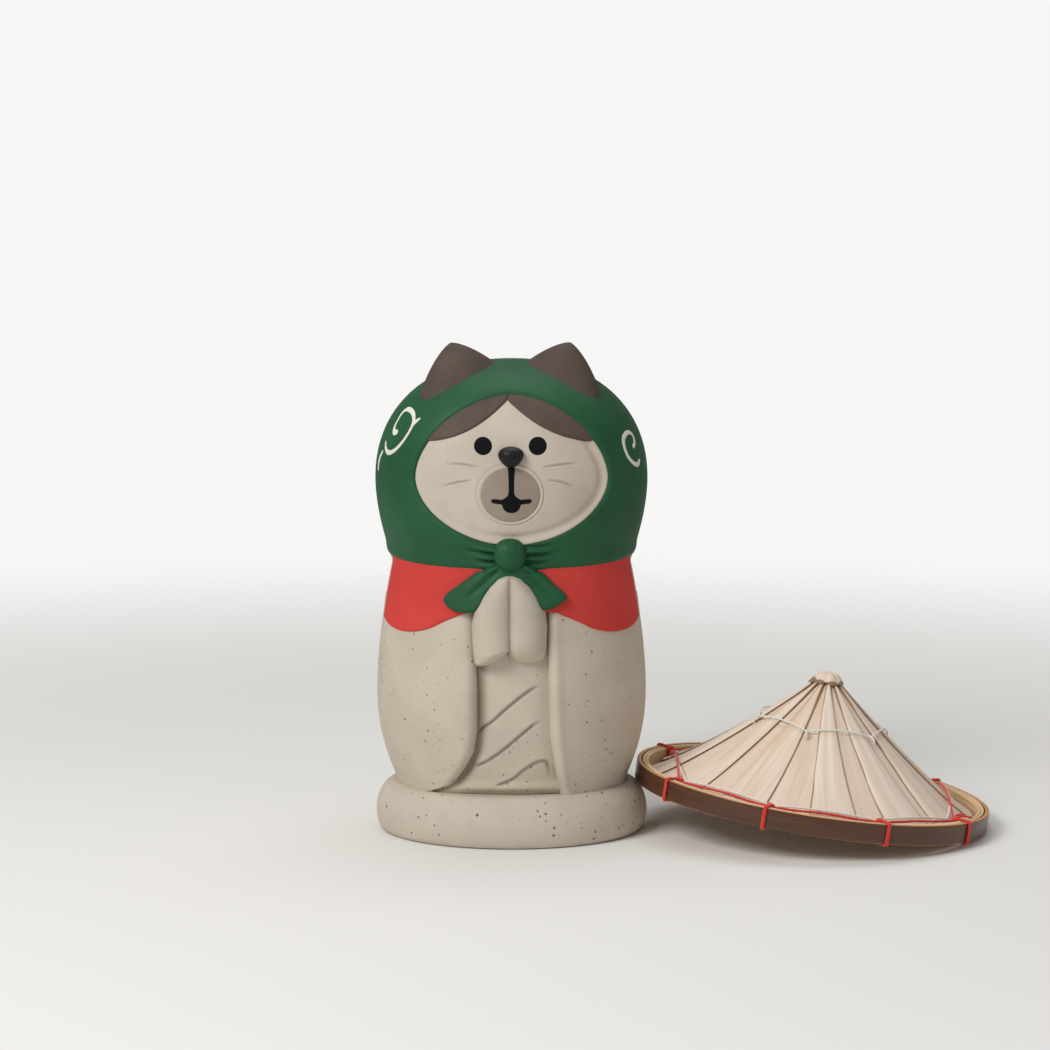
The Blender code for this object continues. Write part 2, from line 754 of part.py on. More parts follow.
def make_ear(side, name):
    """An ear: a flattened cone with a round tip, seated on the hood."""
    profile = []
    count = 8
    for i in range(count + 1):
        height = EAR_HEIGHT * math.cos(math.pi / 2 * i / count)
        share = height / EAR_HEIGHT
        profile.append((EAR_WIDTH / 2 * (1 - share ** EAR_POWER) ** (1 / EAR_POWER), height - EAR_HEIGHT))
    profile[0] = (0.0, 0.0)
    profile.append((0.0, -EAR_HEIGHT))
    ear = turned(name, profile, EAR_STEPS)
    ear.scale.y = EAR_FLATTEN
    ear.rotation_euler.y = side * EAR_TILT
    ear.location = (side * EAR_SPREAD / 2, -EAR_FORWARD, CROWN + EAR_REACH)
    return finish(cut(freeze(ear), head_skin(CLEAR)), name, "fur_brown", 60)


def knot_block(by=0.0):
    """The knot's rounded block, grown by a distance."""
    bpy.ops.mesh.primitive_cube_add(size=1)
    block = bpy.context.object
    block.dimensions = (KNOT_WIDTH + 2 * by, KNOT_DEEP + 2 * by, KNOT_TALL + 2 * by)
    level = HEM_FRONT + KNOT_TALL / 2
    block.location = (0, front_depth(0, level, KNOT_PROUD) + KNOT_DEEP / 2, level)
    block = adopted(block)
    bevel = block.modifiers.new("Round", "BEVEL")
    bevel.width = KNOT_ROUND + by
    bevel.segments = 3
    return freeze(block)


def make_knot():
    """The knot under the chin, seated on the hood."""
    knot = cut(knot_block(), head_skin(CLEAR), robe_skin(BIB_PROUD + CLEAR, SPARE))
    return finish(knot, "knot", "hood_green", 60)


def tail_outline(side):
    """One tail of the scarf: a round lobe on the left, a slanted point on the right."""
    top = HEM_FRONT - CLEAR * 3
    drop = TAIL_DROP - CLEAR * 3
    if side < 0:
        reach = TAIL_REACH
        shares = TAIL_LOBE_EDGE
    else:
        reach = TAIL_POINT
        shares = TAIL_POINT_EDGE
    points = [(TAIL_ROOT, top)] + [(reach * across, top - drop * down) for across, down in shares]
    points = smooth(points, 3)
    return points if side > 0 else mirrored(points)


def paw_ball(side, by=0.0):
    """One paw's long ball, grown by a distance."""
    level = HEM_FRONT - PAW_DROP - PAW_TALL / 2
    middle = side * PAW_MIDDLE
    depth = front_depth(0, level, PAW_PROUD) + PAW_DEEP / 2
    size = (PAW_WIDTH + 2 * by, PAW_DEEP + 2 * by, PAW_TALL + 2 * by)
    return ball("paw", size, (middle, depth, level), -side * PAW_TILT, 16, 12, PAW_FULLNESS)


def make_paws():
    """The two paws, palm to palm, seated on the robe's front and on the bib."""
    for side, name in ((-1, "paw_left"), (1, "paw_right")):
        bpy.ops.mesh.primitive_cube_add(size=1)
        half = bpy.context.object
        size = ROBE_WIDTH
        half.scale = (size, size * 2, size * 2)
        half.location = (-side * (size / 2 - CLEAR / 2), 0, HEM)
        paw = cut(paw_ball(side), adopted(half), robe_skin(CLEAR - FRONT_SINK, SPARE))
        upper = overlap(robe_skin(BIB_PROUD + CLEAR, SPARE), block_above(HEM - FRONT_TOP_DROP - CLEAR))
        finish(cut(paw, upper), name, "stone", 60)


def block_above(level):
    """A block from a height upwards."""
    bpy.ops.mesh.primitive_cube_add(size=1)
    block = bpy.context.object
    size = HEAD_WIDTH * 2
    block.scale = (size, size, size)
    block.location = (0, 0, level + size / 2)
    return adopted(block)


def make_tail(side, name):
    """One tail of the scarf, lying on the bib beside the paws."""
    tail = prism(tail_outline(side), -ROBE_WIDTH, 0.0)
    tail = overlap(tail, robe_skin(BIB_PROUD + CLEAR + TAIL_THICK, SPARE))
    tail = cut(tail, robe_skin(BIB_PROUD + CLEAR, SPARE * 2), above_hem(-CLEAR))
    tail = cut(tail, knot_block(CLEAR), paw_ball(side, CLEAR))
    return finish(tail, name, "hood_green")


def cone_profile(raised, count=6):
    """The leaves' cone from the peak to the foot, moved out by a distance."""
    profile = []
    for i in range(count + 1):
        share = i / count
        radius = LEAF_START + (CONE_RADIUS - LEAF_START) * share
        profile.append((radius, cone_height(radius)))
    return [(min(radius, CONE_RADIUS), height) for radius, height in moved_out(profile, raised)]


def cone_height(radius):
    """Height of the lower leaves' top face at a radius, in the hat's own frame."""
    return CONE_FOOT + CONE_RISE * max(1 - radius / CONE_RADIUS, 0.0) ** CONE_POWER


def on_cone(angle, radius, raised):
    """A point over the cone, at a distance from its face."""
    step = 0.2 * MM
    radius = min(radius, CONE_RADIUS - step)
    slope = Vector((step * 2, cone_height(radius + step) - cone_height(radius - step))).normalized()
    reach = radius - slope.y * raised
    return (reach * math.cos(angle), reach * math.sin(angle), cone_height(radius) + slope.x * raised)


def taut_loop(angles, radius, raised, steps=4):
    """A thread pulled straight between corners, lying on the leaves."""
    corners = [Vector((radius * math.cos(a), radius * math.sin(a))) for a in angles]
    points = []
    for index, corner in enumerate(corners):
        after = corners[(index + 1) % len(corners)]
        for step in range(steps):
            spot = corner.lerp(after, step / steps)
            points.append(on_cone(math.atan2(spot.y, spot.x), spot.length, raised))
    return points


def hat_piece(thing, material):
    """Give a hat piece its material and hang it on the hat's frame."""
    TOOLS.objects.unlink(thing)
    place(thing, PARTS)
    thing.data.materials.append(MATERIALS[material])
    thing.parent = HAT
    return thing


def make_hoop(name, radius, wall, low, high, material):
    """A hoop of split bamboo with a chamfered top edge."""
    inner = radius - wall
    chamfer = HOOP_CHAMFER
    profile = [
        (radius - chamfer, high),
        (radius, high - chamfer),
        (radius, low),
        (inner, low),
        (inner, high - chamfer),
        (inner + chamfer, high),
    ]
    hoop = freeze(turned(name, profile, HOOP_STEPS, closed=True))
    return hat_piece(hoop, material)


def make_leaf(index):
    """One leaf: a tapered strip of the cone. Every second leaf lies on its neighbours."""
    upper = index % 2 == 0
    raised = LEAF_THICK + CLEAR if upper else 0.0
    span = LEAF_UPPER_SPAN if upper else LEAF_LOWER_SPAN
    leaf = turned("leaf_%02d" % (index + 1), cone_profile(raised), 2, turn=span)
    wall = leaf.modifiers.new("Thickness", "SOLIDIFY")
    wall.thickness = LEAF_THICK
    wall.offset = -1.0
    leaf.rotation_euler.z = math.tau * index / LEAF_COUNT - span / 2
    return hat_piece(leaf, "leaf")


def make_peak():
    """The gathered leaf ends that close the peak."""
    reach = PEAK_WIDTH / 2
    raised = THREAD_RAISED
    under = [on_cone(0.0, LEAF_START + (reach - LEAF_START) * share, raised) for share in (0.0, 0.5, 1.0)]
    under = [(spot[0], spot[2]) for spot in under]
    over = [(radius, height + PEAK_THICK) for radius, height in under]
    top = over[0][1] + PEAK_THICK
    profile = [(0.0, top)] + over + under[::-1] + [(0.0, under[0][1])]
    return hat_piece(freeze(turned("hat_peak", profile, PEAK_STEPS)), "leaf")


def make_ring(name, radius, material):
    """A round bamboo ring that lies under the leaves."""
    raised = -(LEAF_THICK + CLEAR + RING_THICK / 2)
    points = [on_cone(math.tau * i / RING_STEPS, radius, raised) for i in range(RING_STEPS)]
    return hat_piece(tube(name, points, RING_THICK, cyclic=True), material)


def wrap_path():
    """One wrap's (radius, height) points: from the leaves over both hoops and back under."""
    out = HOOP_WIDTH / 2 + CLEAR + RED_THICK / 2
    inside = HOOP_INNER_RADIUS - CLEAR - RED_THICK / 2
    low = -CLEAR - RED_THICK / 2
    high = HOOP_HEIGHT + CLEAR + RED_THICK / 2
    bend = RED_THICK / 2
    join = on_cone(0.0, RED_RADIUS, THREAD_RAISED + RED_THICK / 2)
    return [
        (join[0] - RED_JOIN, join[2] - RED_JOIN / 2),
        (inside, join[2] + RED_THICK),
        (inside, high - bend),
        (inside + bend, high),
        (out - bend, high),
        (out, high - bend),
        (out, low + bend),
        (out - bend, low),
        (inside + bend, low),
        (inside, low + bend),
        (inside, CONE_FOOT - LEAF_THICK - CLEAR * 2),
    ]


def make_threads():
    """The red thread with its wraps round the hoops, and two white threads over the leaves."""
    run = taut_loop(LASHINGS, RED_RADIUS, THREAD_RAISED + RED_THICK / 2)
    red = freeze(tube("thread_red", run, RED_THICK, cyclic=True))
    for angle in LASHINGS:
        spots = [(r * math.cos(angle), r * math.sin(angle), height) for r, height in wrap_path()]
        red = combine(red, freeze(tube("wrap", spots, RED_THICK)), "UNION")
    hat_piece(red, "thread_red")
    raised = THREAD_RAISED + WHITE_THICK / 2
    lower = taut_loop(LASHINGS, RED_RADIUS - WHITE_LOWER_INSET, raised)
    hat_piece(tube("thread_white_lower", lower, WHITE_THICK, cyclic=True), "thread_white")
    turn = math.tau / WHITE_UPPER_CORNERS
    corners = [turn * (i + WHITE_UPPER_TURN) for i in range(WHITE_UPPER_CORNERS)]
    upper = taut_loop(corners, WHITE_UPPER_WIDTH / 2, raised)
    hat_piece(tube("thread_white_upper", upper, WHITE_THICK, cyclic=True), "thread_white")


def make_hat():
    """The leaf hat."""
    outer = HOOP_WIDTH / 2
    make_hoop("hoop_outer", outer, HOOP_OUTER_WALL, 0.0, HOOP_HEIGHT, "bamboo_dark")
    inner = outer - HOOP_OUTER_WALL - CLEAR
    make_hoop("hoop_inner", inner, HOOP_INNER_WALL, 0.0, HOOP_HEIGHT, "bamboo_light")
    for index in range(LEAF_COUNT):
        make_leaf(index)
    make_peak()
    make_ring("ring_upper", RING_UPPER_WIDTH / 2, "bamboo_light")
    make_ring("ring_lower", HOOP_INNER_RADIUS - RING_LOWER_INSET, "bamboo_light")
    make_threads()


def hat_frame():
    """The hat's frame: one side on the plinth's shoulder, the other on the ground."""
    seat_radius = PLINTH_WIDTH / 2 - HAT_REACH
    tilt = math.asin((shoulder_height(seat_radius) + CLEAR * 2) / HOOP_WIDTH)
    frame = bpy.data.objects.new("hat_frame", None)
    frame.rotation_euler.y = tilt
    frame.location = (seat_radius + HOOP_WIDTH / 2 * math.cos(tilt), 0, HOOP_WIDTH / 2 * math.sin(tilt))
    return place(frame, PARTS)


for old in list(bpy.data.objects):
    bpy.data.objects.remove(old)

# Levels that follow from the sizes.
NECK = PLINTH_HEIGHT + ROBE_HEIGHT
CROWN = NECK + HEAD_HEIGHT
HEM = NECK + HEM_RISE
HEM_FRONT = HEM - math.tan(HEM_TILT) * NECK_WIDTH / 2 * BODY_FLATTEN
FACE = NECK + FACE_MIDDLE
MUZZLE = FACE - MUZZLE_DROP
HOOP_INNER_RADIUS = HOOP_WIDTH / 2 - HOOP_OUTER_WALL - CLEAR - HOOP_INNER_WALL
CONE_RADIUS = HOOP_INNER_RADIUS - CLEAR
THREAD_RAISED = LEAF_THICK + CLEAR * 2
RED_RADIUS = HOOP_INNER_RADIUS - CLEAR * 2 - RED_THICK * 1.5

PARTS = new_collection("cat_figurine")
TOOLS = new_collection("tools")
MATERIALS = {name: new_material(name) for name in FINISHES}

make_plinth()
make_robe()
make_sleeve(-1, "sleeve_left")
make_sleeve(1, "sleeve_right")
make_bib()
make_hood()
make_face()
make_features()
make_nose()
make_ear(-1, "ear_left")
make_ear(1, "ear_right")
make_knot()
make_paws()
make_tail(-1, "tail_left")
make_tail(1, "tail_right")
HAT = hat_frame()
make_hat()
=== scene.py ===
"""A praying cat figurine in a green head scarf and a red bib, with its loose leaf hat.

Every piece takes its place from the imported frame. Lengths are in metres, but lists of chosen
points are in millimetres. +Z is up and the figurine faces -Y. Angles round the body are measured
from its front towards the viewer's right.
"""

import logging
import math
from dataclasses import dataclass
from enum import Enum
from typing import Callable, Iterator, Sequence

import bpy
import numpy as np
from mathutils import Matrix, Vector


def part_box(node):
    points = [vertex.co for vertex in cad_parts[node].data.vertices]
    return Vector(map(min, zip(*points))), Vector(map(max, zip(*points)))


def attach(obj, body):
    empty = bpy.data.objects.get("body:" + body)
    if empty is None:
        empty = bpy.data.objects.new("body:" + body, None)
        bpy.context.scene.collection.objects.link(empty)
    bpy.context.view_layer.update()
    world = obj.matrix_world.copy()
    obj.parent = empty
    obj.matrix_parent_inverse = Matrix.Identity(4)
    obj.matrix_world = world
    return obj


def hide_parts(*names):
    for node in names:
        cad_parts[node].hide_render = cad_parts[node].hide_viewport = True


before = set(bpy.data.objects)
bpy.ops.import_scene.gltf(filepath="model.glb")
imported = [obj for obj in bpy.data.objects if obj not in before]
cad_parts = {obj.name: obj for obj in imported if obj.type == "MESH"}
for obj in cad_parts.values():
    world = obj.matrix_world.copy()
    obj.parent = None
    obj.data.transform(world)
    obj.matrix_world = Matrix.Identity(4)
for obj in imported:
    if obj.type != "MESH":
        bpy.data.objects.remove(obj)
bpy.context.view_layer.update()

MM = 0.001
QUARTER = math.pi / 2
LOG = logging.getLogger("cat_figurine")
Array = np.ndarray
Piece = bpy.types.Object
Socket = bpy.types.NodeSocket
Place = Callable[[Array, Array], Array]
Triple = tuple[float, float, float]
Pairs = tuple[tuple[float, float], ...]
Triples = tuple[Triple, ...]


class Side(Enum):
    """The viewer's left or right half of the figurine."""

    LEFT = -1
    RIGHT = 1

    @property
    def word(self) -> str:
        """The side's name in a piece's name."""
        return self.name.lower()


def soft_step(low: float, high: float, value: Array) -> Array:
    """Rise smoothly from 0 where the value is low to 1 where it is high."""
    share = np.clip((value - low) / (high - low), 0.0, 1.0)
    return share * share * (3 - 2 * share)


def hump(value: Array, middle: float, width: float) -> Array:
    """A soft bump of height 1 at the middle, which falls to about a third at its width."""
    return np.exp(-(((value - middle) / width) ** 2))


def falloff(value: Array, width: float) -> Array:
    """1 where the value is 0 or less, and a soft fall to about a third at the width."""
    return np.exp(-((np.maximum(value, 0) / width) ** 2))


def arc_depth(share: Array) -> Array:
    """The height of a quarter circle of radius 1 at each share of the way in from its side."""
    return np.sqrt(1 - (1 - np.clip(share, 0.0, 1.0)) ** 2)


def round_over(inset: Array, radius: float) -> Array:
    """How far a rounded edge drops at a distance in from the edge, its radius at the edge."""
    return radius * (1 - arc_depth(inset / radius))


def quarter(steps: int) -> Array:
    """A rounded edge of radius 1 as (inset, drop) rows, from its side to its top."""
    angle = np.linspace(0, QUARTER, steps + 1)
    return np.stack([1 - np.cos(angle), np.sin(angle) - 1], axis=-1)


def polar(radius: Array, turn: Array, height: Array) -> Array:
    """Positions round the Z axis."""
    return np.stack([radius * np.cos(turn), radius * np.sin(turn), height + 0 * turn], axis=-1)


def swing(spots: Array, angle: float) -> Array:
    """Rows that start with x and y, turned round the Z axis."""
    x, y = spots[:, 0], spots[:, 1]
    return np.column_stack([x * math.cos(angle) - y * math.sin(angle),
                            x * math.sin(angle) + y * math.cos(angle), spots[:, 2:]])


def circle(count: int) -> Array:
    """Points round a flat circle of radius 1, one a row."""
    turn = np.linspace(0, math.tau, count, endpoint=False)
    return np.stack([np.cos(turn), np.sin(turn)], axis=-1)


def nearest(turn: Array, count: int) -> Array:
    """The number of the section's vertex at each turn."""
    return np.rint(turn / math.tau * count).astype(int) % count


def soft_block(turn: Array, share: Array, power: float = 2.0) -> Array:
    """Places on a soft block of half size 1, a ball where the power is 2.

    Args:
        turn: The turns round it.
        share: How far from its lower to its upper pole they lie.
        power: How boxy it is.

    Returns:
        One position for each.
    """
    spots = polar(np.sin(math.pi * share), turn, -np.cos(math.pi * share))
    return spots / (np.abs(spots) ** power).sum(axis=1, keepdims=True) ** (1 / power)


def rounded_box(inner: float, outer: float, low: float, high: float, corner: float,
                steps: int) -> Array:
    """A rectangular section with rounded corners, as (radius, height) rows.

    Args:
        inner: Its inner radius.
        outer: Its outer radius.
        low: Its lower edge's height.
        high: Its upper edge's height.
        corner: The radius of its corners.
        steps: How many steps each corner has.

    Returns:
        The rows, from the outer side up and round.
    """
    middles = ((outer - corner, high - corner), (inner + corner, high - corner),
               (inner + corner, low + corner), (outer - corner, low + corner))
    rows = []
    for start, middle in enumerate(middles):
        angle = QUARTER * (start + np.arange(steps + 1) / steps)
        rows.append(np.array(middle) + corner * np.stack([np.cos(angle), np.sin(angle)], axis=-1))
    return np.vstack(rows)


def smooth_path(points: Sequence[Sequence[float]], steps: int, closed: bool = False,
                scale: float = MM) -> Array:
    """A smooth curve through a few chosen points.

    Args:
        points: The chosen points.
        steps: How many points each span gets.
        closed: Whether the curve ends where it starts.
        scale: How long one unit of the points is.

    Returns:
        The curve's points, one a row.
    """
    chosen = np.array(points, float) * scale
    t = np.arange(steps)[:, None] / steps
    rows = []
    for span in range(len(chosen) - (not closed)):
        before, start, end, after = np.take(chosen, range(span - 1, span + 3), axis=0,
                                            mode="wrap" if closed else "clip")
        rows.append((start * 2 + (end - before) * t + (before * 2 - start * 5 + end * 4 - after) * t**2
                     + (start * 3 - before - end * 3 + after) * t**3) / 2)
    return np.vstack(rows if closed else rows + [chosen[-1:]])


def run_lengths(path: Array) -> Array:
    """How far along a path each of its points lies."""
    return np.concatenate([[0.0], np.cumsum(np.linalg.norm(np.diff(path, axis=0), axis=1))])


def path_distance(spots: Array, path: Array) -> tuple[Array, Array, Array]:
    """Measure flat points against a path.

    Args:
        spots: Points as (across, height) rows.
        path: The path's points, one a row.

    Returns:
        Each point's distance to the path, its signed distance, above 0 to the path's left,
        and the share of the path at its nearest place.
    """
    along = run_lengths(path)
    best, sided, share = np.full(len(spots), 1e9), np.zeros(len(spots)), np.zeros(len(spots))
    for passed, start, run in zip(along, path, np.diff(path, axis=0)):
        length = max(math.hypot(*run), 1e-12)
        offset = spots - start
        t = np.clip((offset @ run) / length**2, 0.0, 1.0)
        far = np.hypot(*(offset - t[:, None] * run).T)
        nearer = far < best
        turn = np.sign(run[0] * offset[:, 1] - run[1] * offset[:, 0])
        best = np.where(nearer, far, best)
        sided = np.where(nearer, far * turn, sided)
        share = np.where(nearer, (passed + t * length) / along[-1], share)
    return best, sided, share


def even_outline(rim: Array, middle: Array, count: int) -> Array:
    """Points of an outline, spread evenly round its middle.

    Args:
        rim: The outline's points, one a row.
        middle: Its middle.
        count: How many points to spread.

    Returns:
        The points, one a row, the first one to the right.
    """
    offset = rim - middle
    turn = np.arctan2(offset[:, 1], offset[:, 0])
    wanted = np.linspace(0, math.tau, count, endpoint=False)
    size = np.interp(wanted, turn, np.linalg.norm(offset, axis=1), period=math.tau)
    return middle + size[:, None] * circle(count)


# Tools for shaping meshes


def activate(piece: Piece | None = None) -> None:
    """Leave edit mode and select one piece or none."""
    if bpy.context.object and bpy.context.object.mode != "OBJECT":
        bpy.ops.object.mode_set(mode="OBJECT")
    bpy.ops.object.select_all(action="DESELECT")
    if piece:
        bpy.context.view_layer.objects.active = piece
        piece.select_set(True)


def new_piece(name: str) -> Piece:
    """Name the primitive that was just added."""
    piece = bpy.context.object
    piece.name = piece.data.name = name
    return piece


def corners(piece: Piece) -> Array:
    """A piece's vertices, one a row."""
    spots = np.zeros(len(piece.data.vertices) * 3)
    piece.data.vertices.foreach_get("co", spots)
    return spots.reshape(-1, 3)


def set_corners(piece: Piece, spots: Array) -> None:
    """Move a piece's vertices."""
    piece.data.vertices.foreach_set("co", np.ascontiguousarray(spots, dtype=np.float32).ravel())
    piece.data.update()


def refine(piece: Piece, chosen: Array) -> None:
    """Divide the faces round some vertices, where a piece carries fine relief."""
    activate(piece)
    bpy.ops.object.mode_set(mode="EDIT")
    bpy.ops.mesh.select_mode(type="VERT")
    bpy.ops.mesh.select_all(action="DESELECT")
    bpy.ops.object.mode_set(mode="OBJECT")
    piece.data.vertices.foreach_set("select", chosen.astype(bool))
    bpy.ops.object.mode_set(mode="EDIT")
    bpy.ops.mesh.subdivide(number_cuts=1)
    bpy.ops.object.mode_set(mode="OBJECT")


def smooth(piece: Piece, angle: float = 50.0) -> Piece:
    """Merge doubles, turn every face outward and shade smooth, apart from sharp edges.

    Args:
        piece: The piece.
        angle: The least angle of a sharp edge, in degrees.

    Returns:
        The same piece.
    """
    activate(piece)
    bpy.ops.object.mode_set(mode="EDIT")
    bpy.ops.mesh.select_all(action="SELECT")
    bpy.ops.mesh.remove_doubles(threshold=1e-7)
    bpy.ops.mesh.normals_make_consistent(inside=False)
    bpy.ops.object.mode_set(mode="OBJECT")
    bpy.ops.object.shade_smooth_by_angle(angle=math.radians(angle))
    return piece


def formed(name: str, spots: Array, angle: float | None) -> Piece:
    """Name the primitive that was just added, move its vertices and shade it at an angle, if any."""
    piece = new_piece(name)
    set_corners(piece, spots)
    return smooth(piece, angle) if angle else piece


def ball(name: str, around: int, rows: int, place: Place, angle: float | None = 50.0) -> Piece:
    """A sphere primitive whose vertices are moved to a closed form.

    Args:
        name: The piece's name.
        around: How many vertices each row has.
        rows: How many steps lie between the poles.
        place: Gives positions from the turn, 0 to 2 pi, and the row number, 0 at the lower pole.
        angle: The least angle of a sharp edge, or None to leave the piece unshaded.

    Returns:
        The piece.
    """
    activate()
    bpy.ops.mesh.primitive_uv_sphere_add(segments=around, ring_count=rows, radius=1)
    x, y, z = corners(bpy.context.object).T
    row = np.rint(np.arccos(np.clip(-z, -1, 1)) / math.pi * rows)
    return formed(name, place(np.arctan2(y, x) % math.tau, row), angle)


def bar(name: str, around: int, rows: int, place: Place, angle: float | None = 60.0) -> Piece:
    """A cylinder primitive, cut across and moved to a closed form with two flat ends.

    Args:
        name: The piece's name.
        around: How many vertices each cross section has.
        rows: How many steps lie between its ends.
        place: Gives positions from the turn, 0 to 2 pi, and the row number, 0 at the start.
        angle: The least angle of a sharp edge, or None to leave the piece unshaded.

    Returns:
        The piece.
    """
    activate()
    bpy.ops.mesh.primitive_cylinder_add(vertices=around, radius=1, depth=2, end_fill_type="NGON")
    piece = bpy.context.object
    bpy.ops.object.mode_set(mode="EDIT")
    bpy.ops.mesh.select_mode(type="EDGE")
    bpy.ops.mesh.select_all(action="DESELECT")
    bpy.ops.object.mode_set(mode="OBJECT")
    height = corners(piece)[:, 2]
    for edge in piece.data.edges:
        edge.select = abs(height[edge.vertices[0]] - height[edge.vertices[1]]) > 1
    bpy.ops.object.mode_set(mode="EDIT")
    bpy.ops.mesh.subdivide(number_cuts=rows - 1)
    bpy.ops.object.mode_set(mode="OBJECT")
    x, y, z = corners(piece).T
    return formed(name, place(np.arctan2(y, x) % math.tau, np.rint((z + 1) / 2 * rows)), angle)


def hoop(name: str, around: int, loop: int, place: Place, angle: float = 60.0) -> Piece:
    """A torus primitive whose vertices are moved to a closed loop.

    Args:
        name: The piece's name.
        around: How many steps the loop has.
        loop: How many vertices its cross section has.
        place: Gives positions from the turn round the loop and the turn round its section.
        angle: The least angle of a sharp edge.

    Returns:
        The piece.
    """
    activate()
    bpy.ops.mesh.primitive_torus_add(major_segments=around, minor_segments=loop, major_radius=2,
                                     minor_radius=1)
    x, y, z = corners(bpy.context.object).T
    section = np.arctan2(z, np.hypot(x, y) - 2) % math.tau
    return formed(name, place(np.arctan2(y, x) % math.tau, section), angle)


def mark(piece: Piece, name: str, *values: Array) -> None:
    """Store one number, or one vector from three, for each vertex, for the material to read."""
    kind, field = ("FLOAT", "value") if len(values) == 1 else ("FLOAT_VECTOR", "vector")
    layer = piece.data.attributes.new(name, kind, "POINT")
    layer.data.foreach_set(
        field, np.stack(np.broadcast_arrays(*values), axis=-1).astype(np.float32).ravel())


# Materials


def srgb(red: float, green: float, blue: float) -> tuple[float, ...]:
    """Turn a colour of 0 to 255 into Blender's linear colour."""
    share = np.array([red, green, blue]) / 255
    return (*np.where(share <= 0.04045, share / 12.92, ((share + 0.055) / 1.055) ** 2.4).tolist(), 1.0)


class Nodes:
    """Short calls for building one node tree."""

    def __init__(self, tree: bpy.types.NodeTree) -> None:
        """Hold the tree and its shader, if it has one."""
        self.tree = tree
        self.shader = tree.nodes.get("Principled BSDF")

    def feed(self, node: bpy.types.Node, **inputs: object) -> bpy.types.Node:
        """Set a node's sockets by name, with _ for a space, or s0, s1, from values or other sockets."""
        for key, value in inputs.items():
            numbered = key[0] == "s" and key[1:].isdigit()
            socket = node.inputs[int(key[1:]) if numbered else key.replace("_", " ")]
            if isinstance(value, Socket):
                self.tree.links.new(value, socket)
            else:
                socket.default_value = value
        return node

    def add(self, kind: str, settings: dict | None = None, **inputs: object) -> bpy.types.Node:
        """Add a node.

        Args:
            kind: The node's type, without its ShaderNode prefix.
            settings: Properties of the node.
            inputs: Its sockets, as feed takes them.

        Returns:
            The node.
        """
        node = self.tree.nodes.new("ShaderNode" + kind)
        for key, value in (settings or {}).items():
            setattr(node, key, value)
        return self.feed(node, **inputs)

    def use(self, group: bpy.types.NodeTree, **inputs: object) -> bpy.types.bpy_prop_collection:
        """Place a shared group and give its outputs."""
        return self.add("Group", {"node_tree": group}, **inputs).outputs

    def noise(self, vector: Socket, scale: object, detail: float, roughness: float = 0.5) -> Socket:
        """Smooth noise from 0 to 1."""
        return self.add("TexNoise", Vector=vector, Scale=scale, Detail=detail,
                        Roughness=roughness).outputs[0]

    def math(self, operation: str, first: object, second: object = 0.0, third: object = 0.0) -> Socket:
        """Work out one number from up to three."""
        return self.add("Math", {"operation": operation}, s0=first, s1=second, s2=third).outputs[0]

    def vector(self, operation: str, **inputs: object) -> Socket:
        """Work out one vector."""
        return self.add("VectorMath", {"operation": operation}, **inputs).outputs[0]

    def ramp(self, value: object, low: float, high: float, start: float = 0.0, end: float = 1.0) -> Socket:
        """Turn a value between low and high smoothly into one between start and end."""
        return self.add("MapRange", {"interpolation_type": "SMOOTHSTEP"}, Value=value, From_Min=low,
                        From_Max=high, To_Min=start, To_Max=end).outputs["Result"]

    def blend(self, share: object, first: object, second: object) -> Socket:
        """Mix two colours by a share."""
        return self.add("Mix", {"data_type": "RGBA"}, s0=share, s6=first, s7=second).outputs[2]

    def layer(self, name: str, kind: str = "Fac") -> Socket:
        """Read what a piece stores for each vertex."""
        return self.add("Attribute", {"attribute_name": name}).outputs[kind]

    def surface(self, colour: Socket, height: Socket, strength: float, distance: float,
                **inputs: object) -> None:
        """Feed the shader.

        Args:
            colour: Its colour.
            height: The relief of its bump.
            strength: The bump's strength.
            distance: The bump's depth.
            inputs: Its other sockets, as feed takes them.
        """
        bump = self.add("Bump", Strength=strength, Distance=distance, Height=height)
        self.feed(self.shader, Base_Color=colour, Normal=bump.outputs[0], **inputs)


class GroupNodes(Nodes):
    """Short calls for building one shared group, which takes a vector and some numbers."""

    def __init__(self, name: str, takes: dict[str, float], *gives: str) -> None:
        """Open the group.

        Args:
            name: Its name.
            takes: Its numbers, each with its first value.
            gives: Its outputs, all numbers.
        """
        super().__init__(bpy.data.node_groups.new(name, "ShaderNodeTree"))
        sockets = self.tree.interface
        sockets.new_socket("Vector", in_out="INPUT", socket_type="NodeSocketVector")
        for key, value in takes.items():
            sockets.new_socket(key, in_out="INPUT", socket_type="NodeSocketFloat").default_value = value
        for key in gives:
            sockets.new_socket(key, in_out="OUTPUT", socket_type="NodeSocketFloat")
        self.given = self.tree.nodes.new("NodeGroupInput").outputs
        self.result = self.tree.nodes.new("NodeGroupOutput")

    def give(self, **values: Socket) -> bpy.types.NodeTree:
        """Feed the outputs and give the group."""
        self.feed(self.result, **values)
        return self.tree


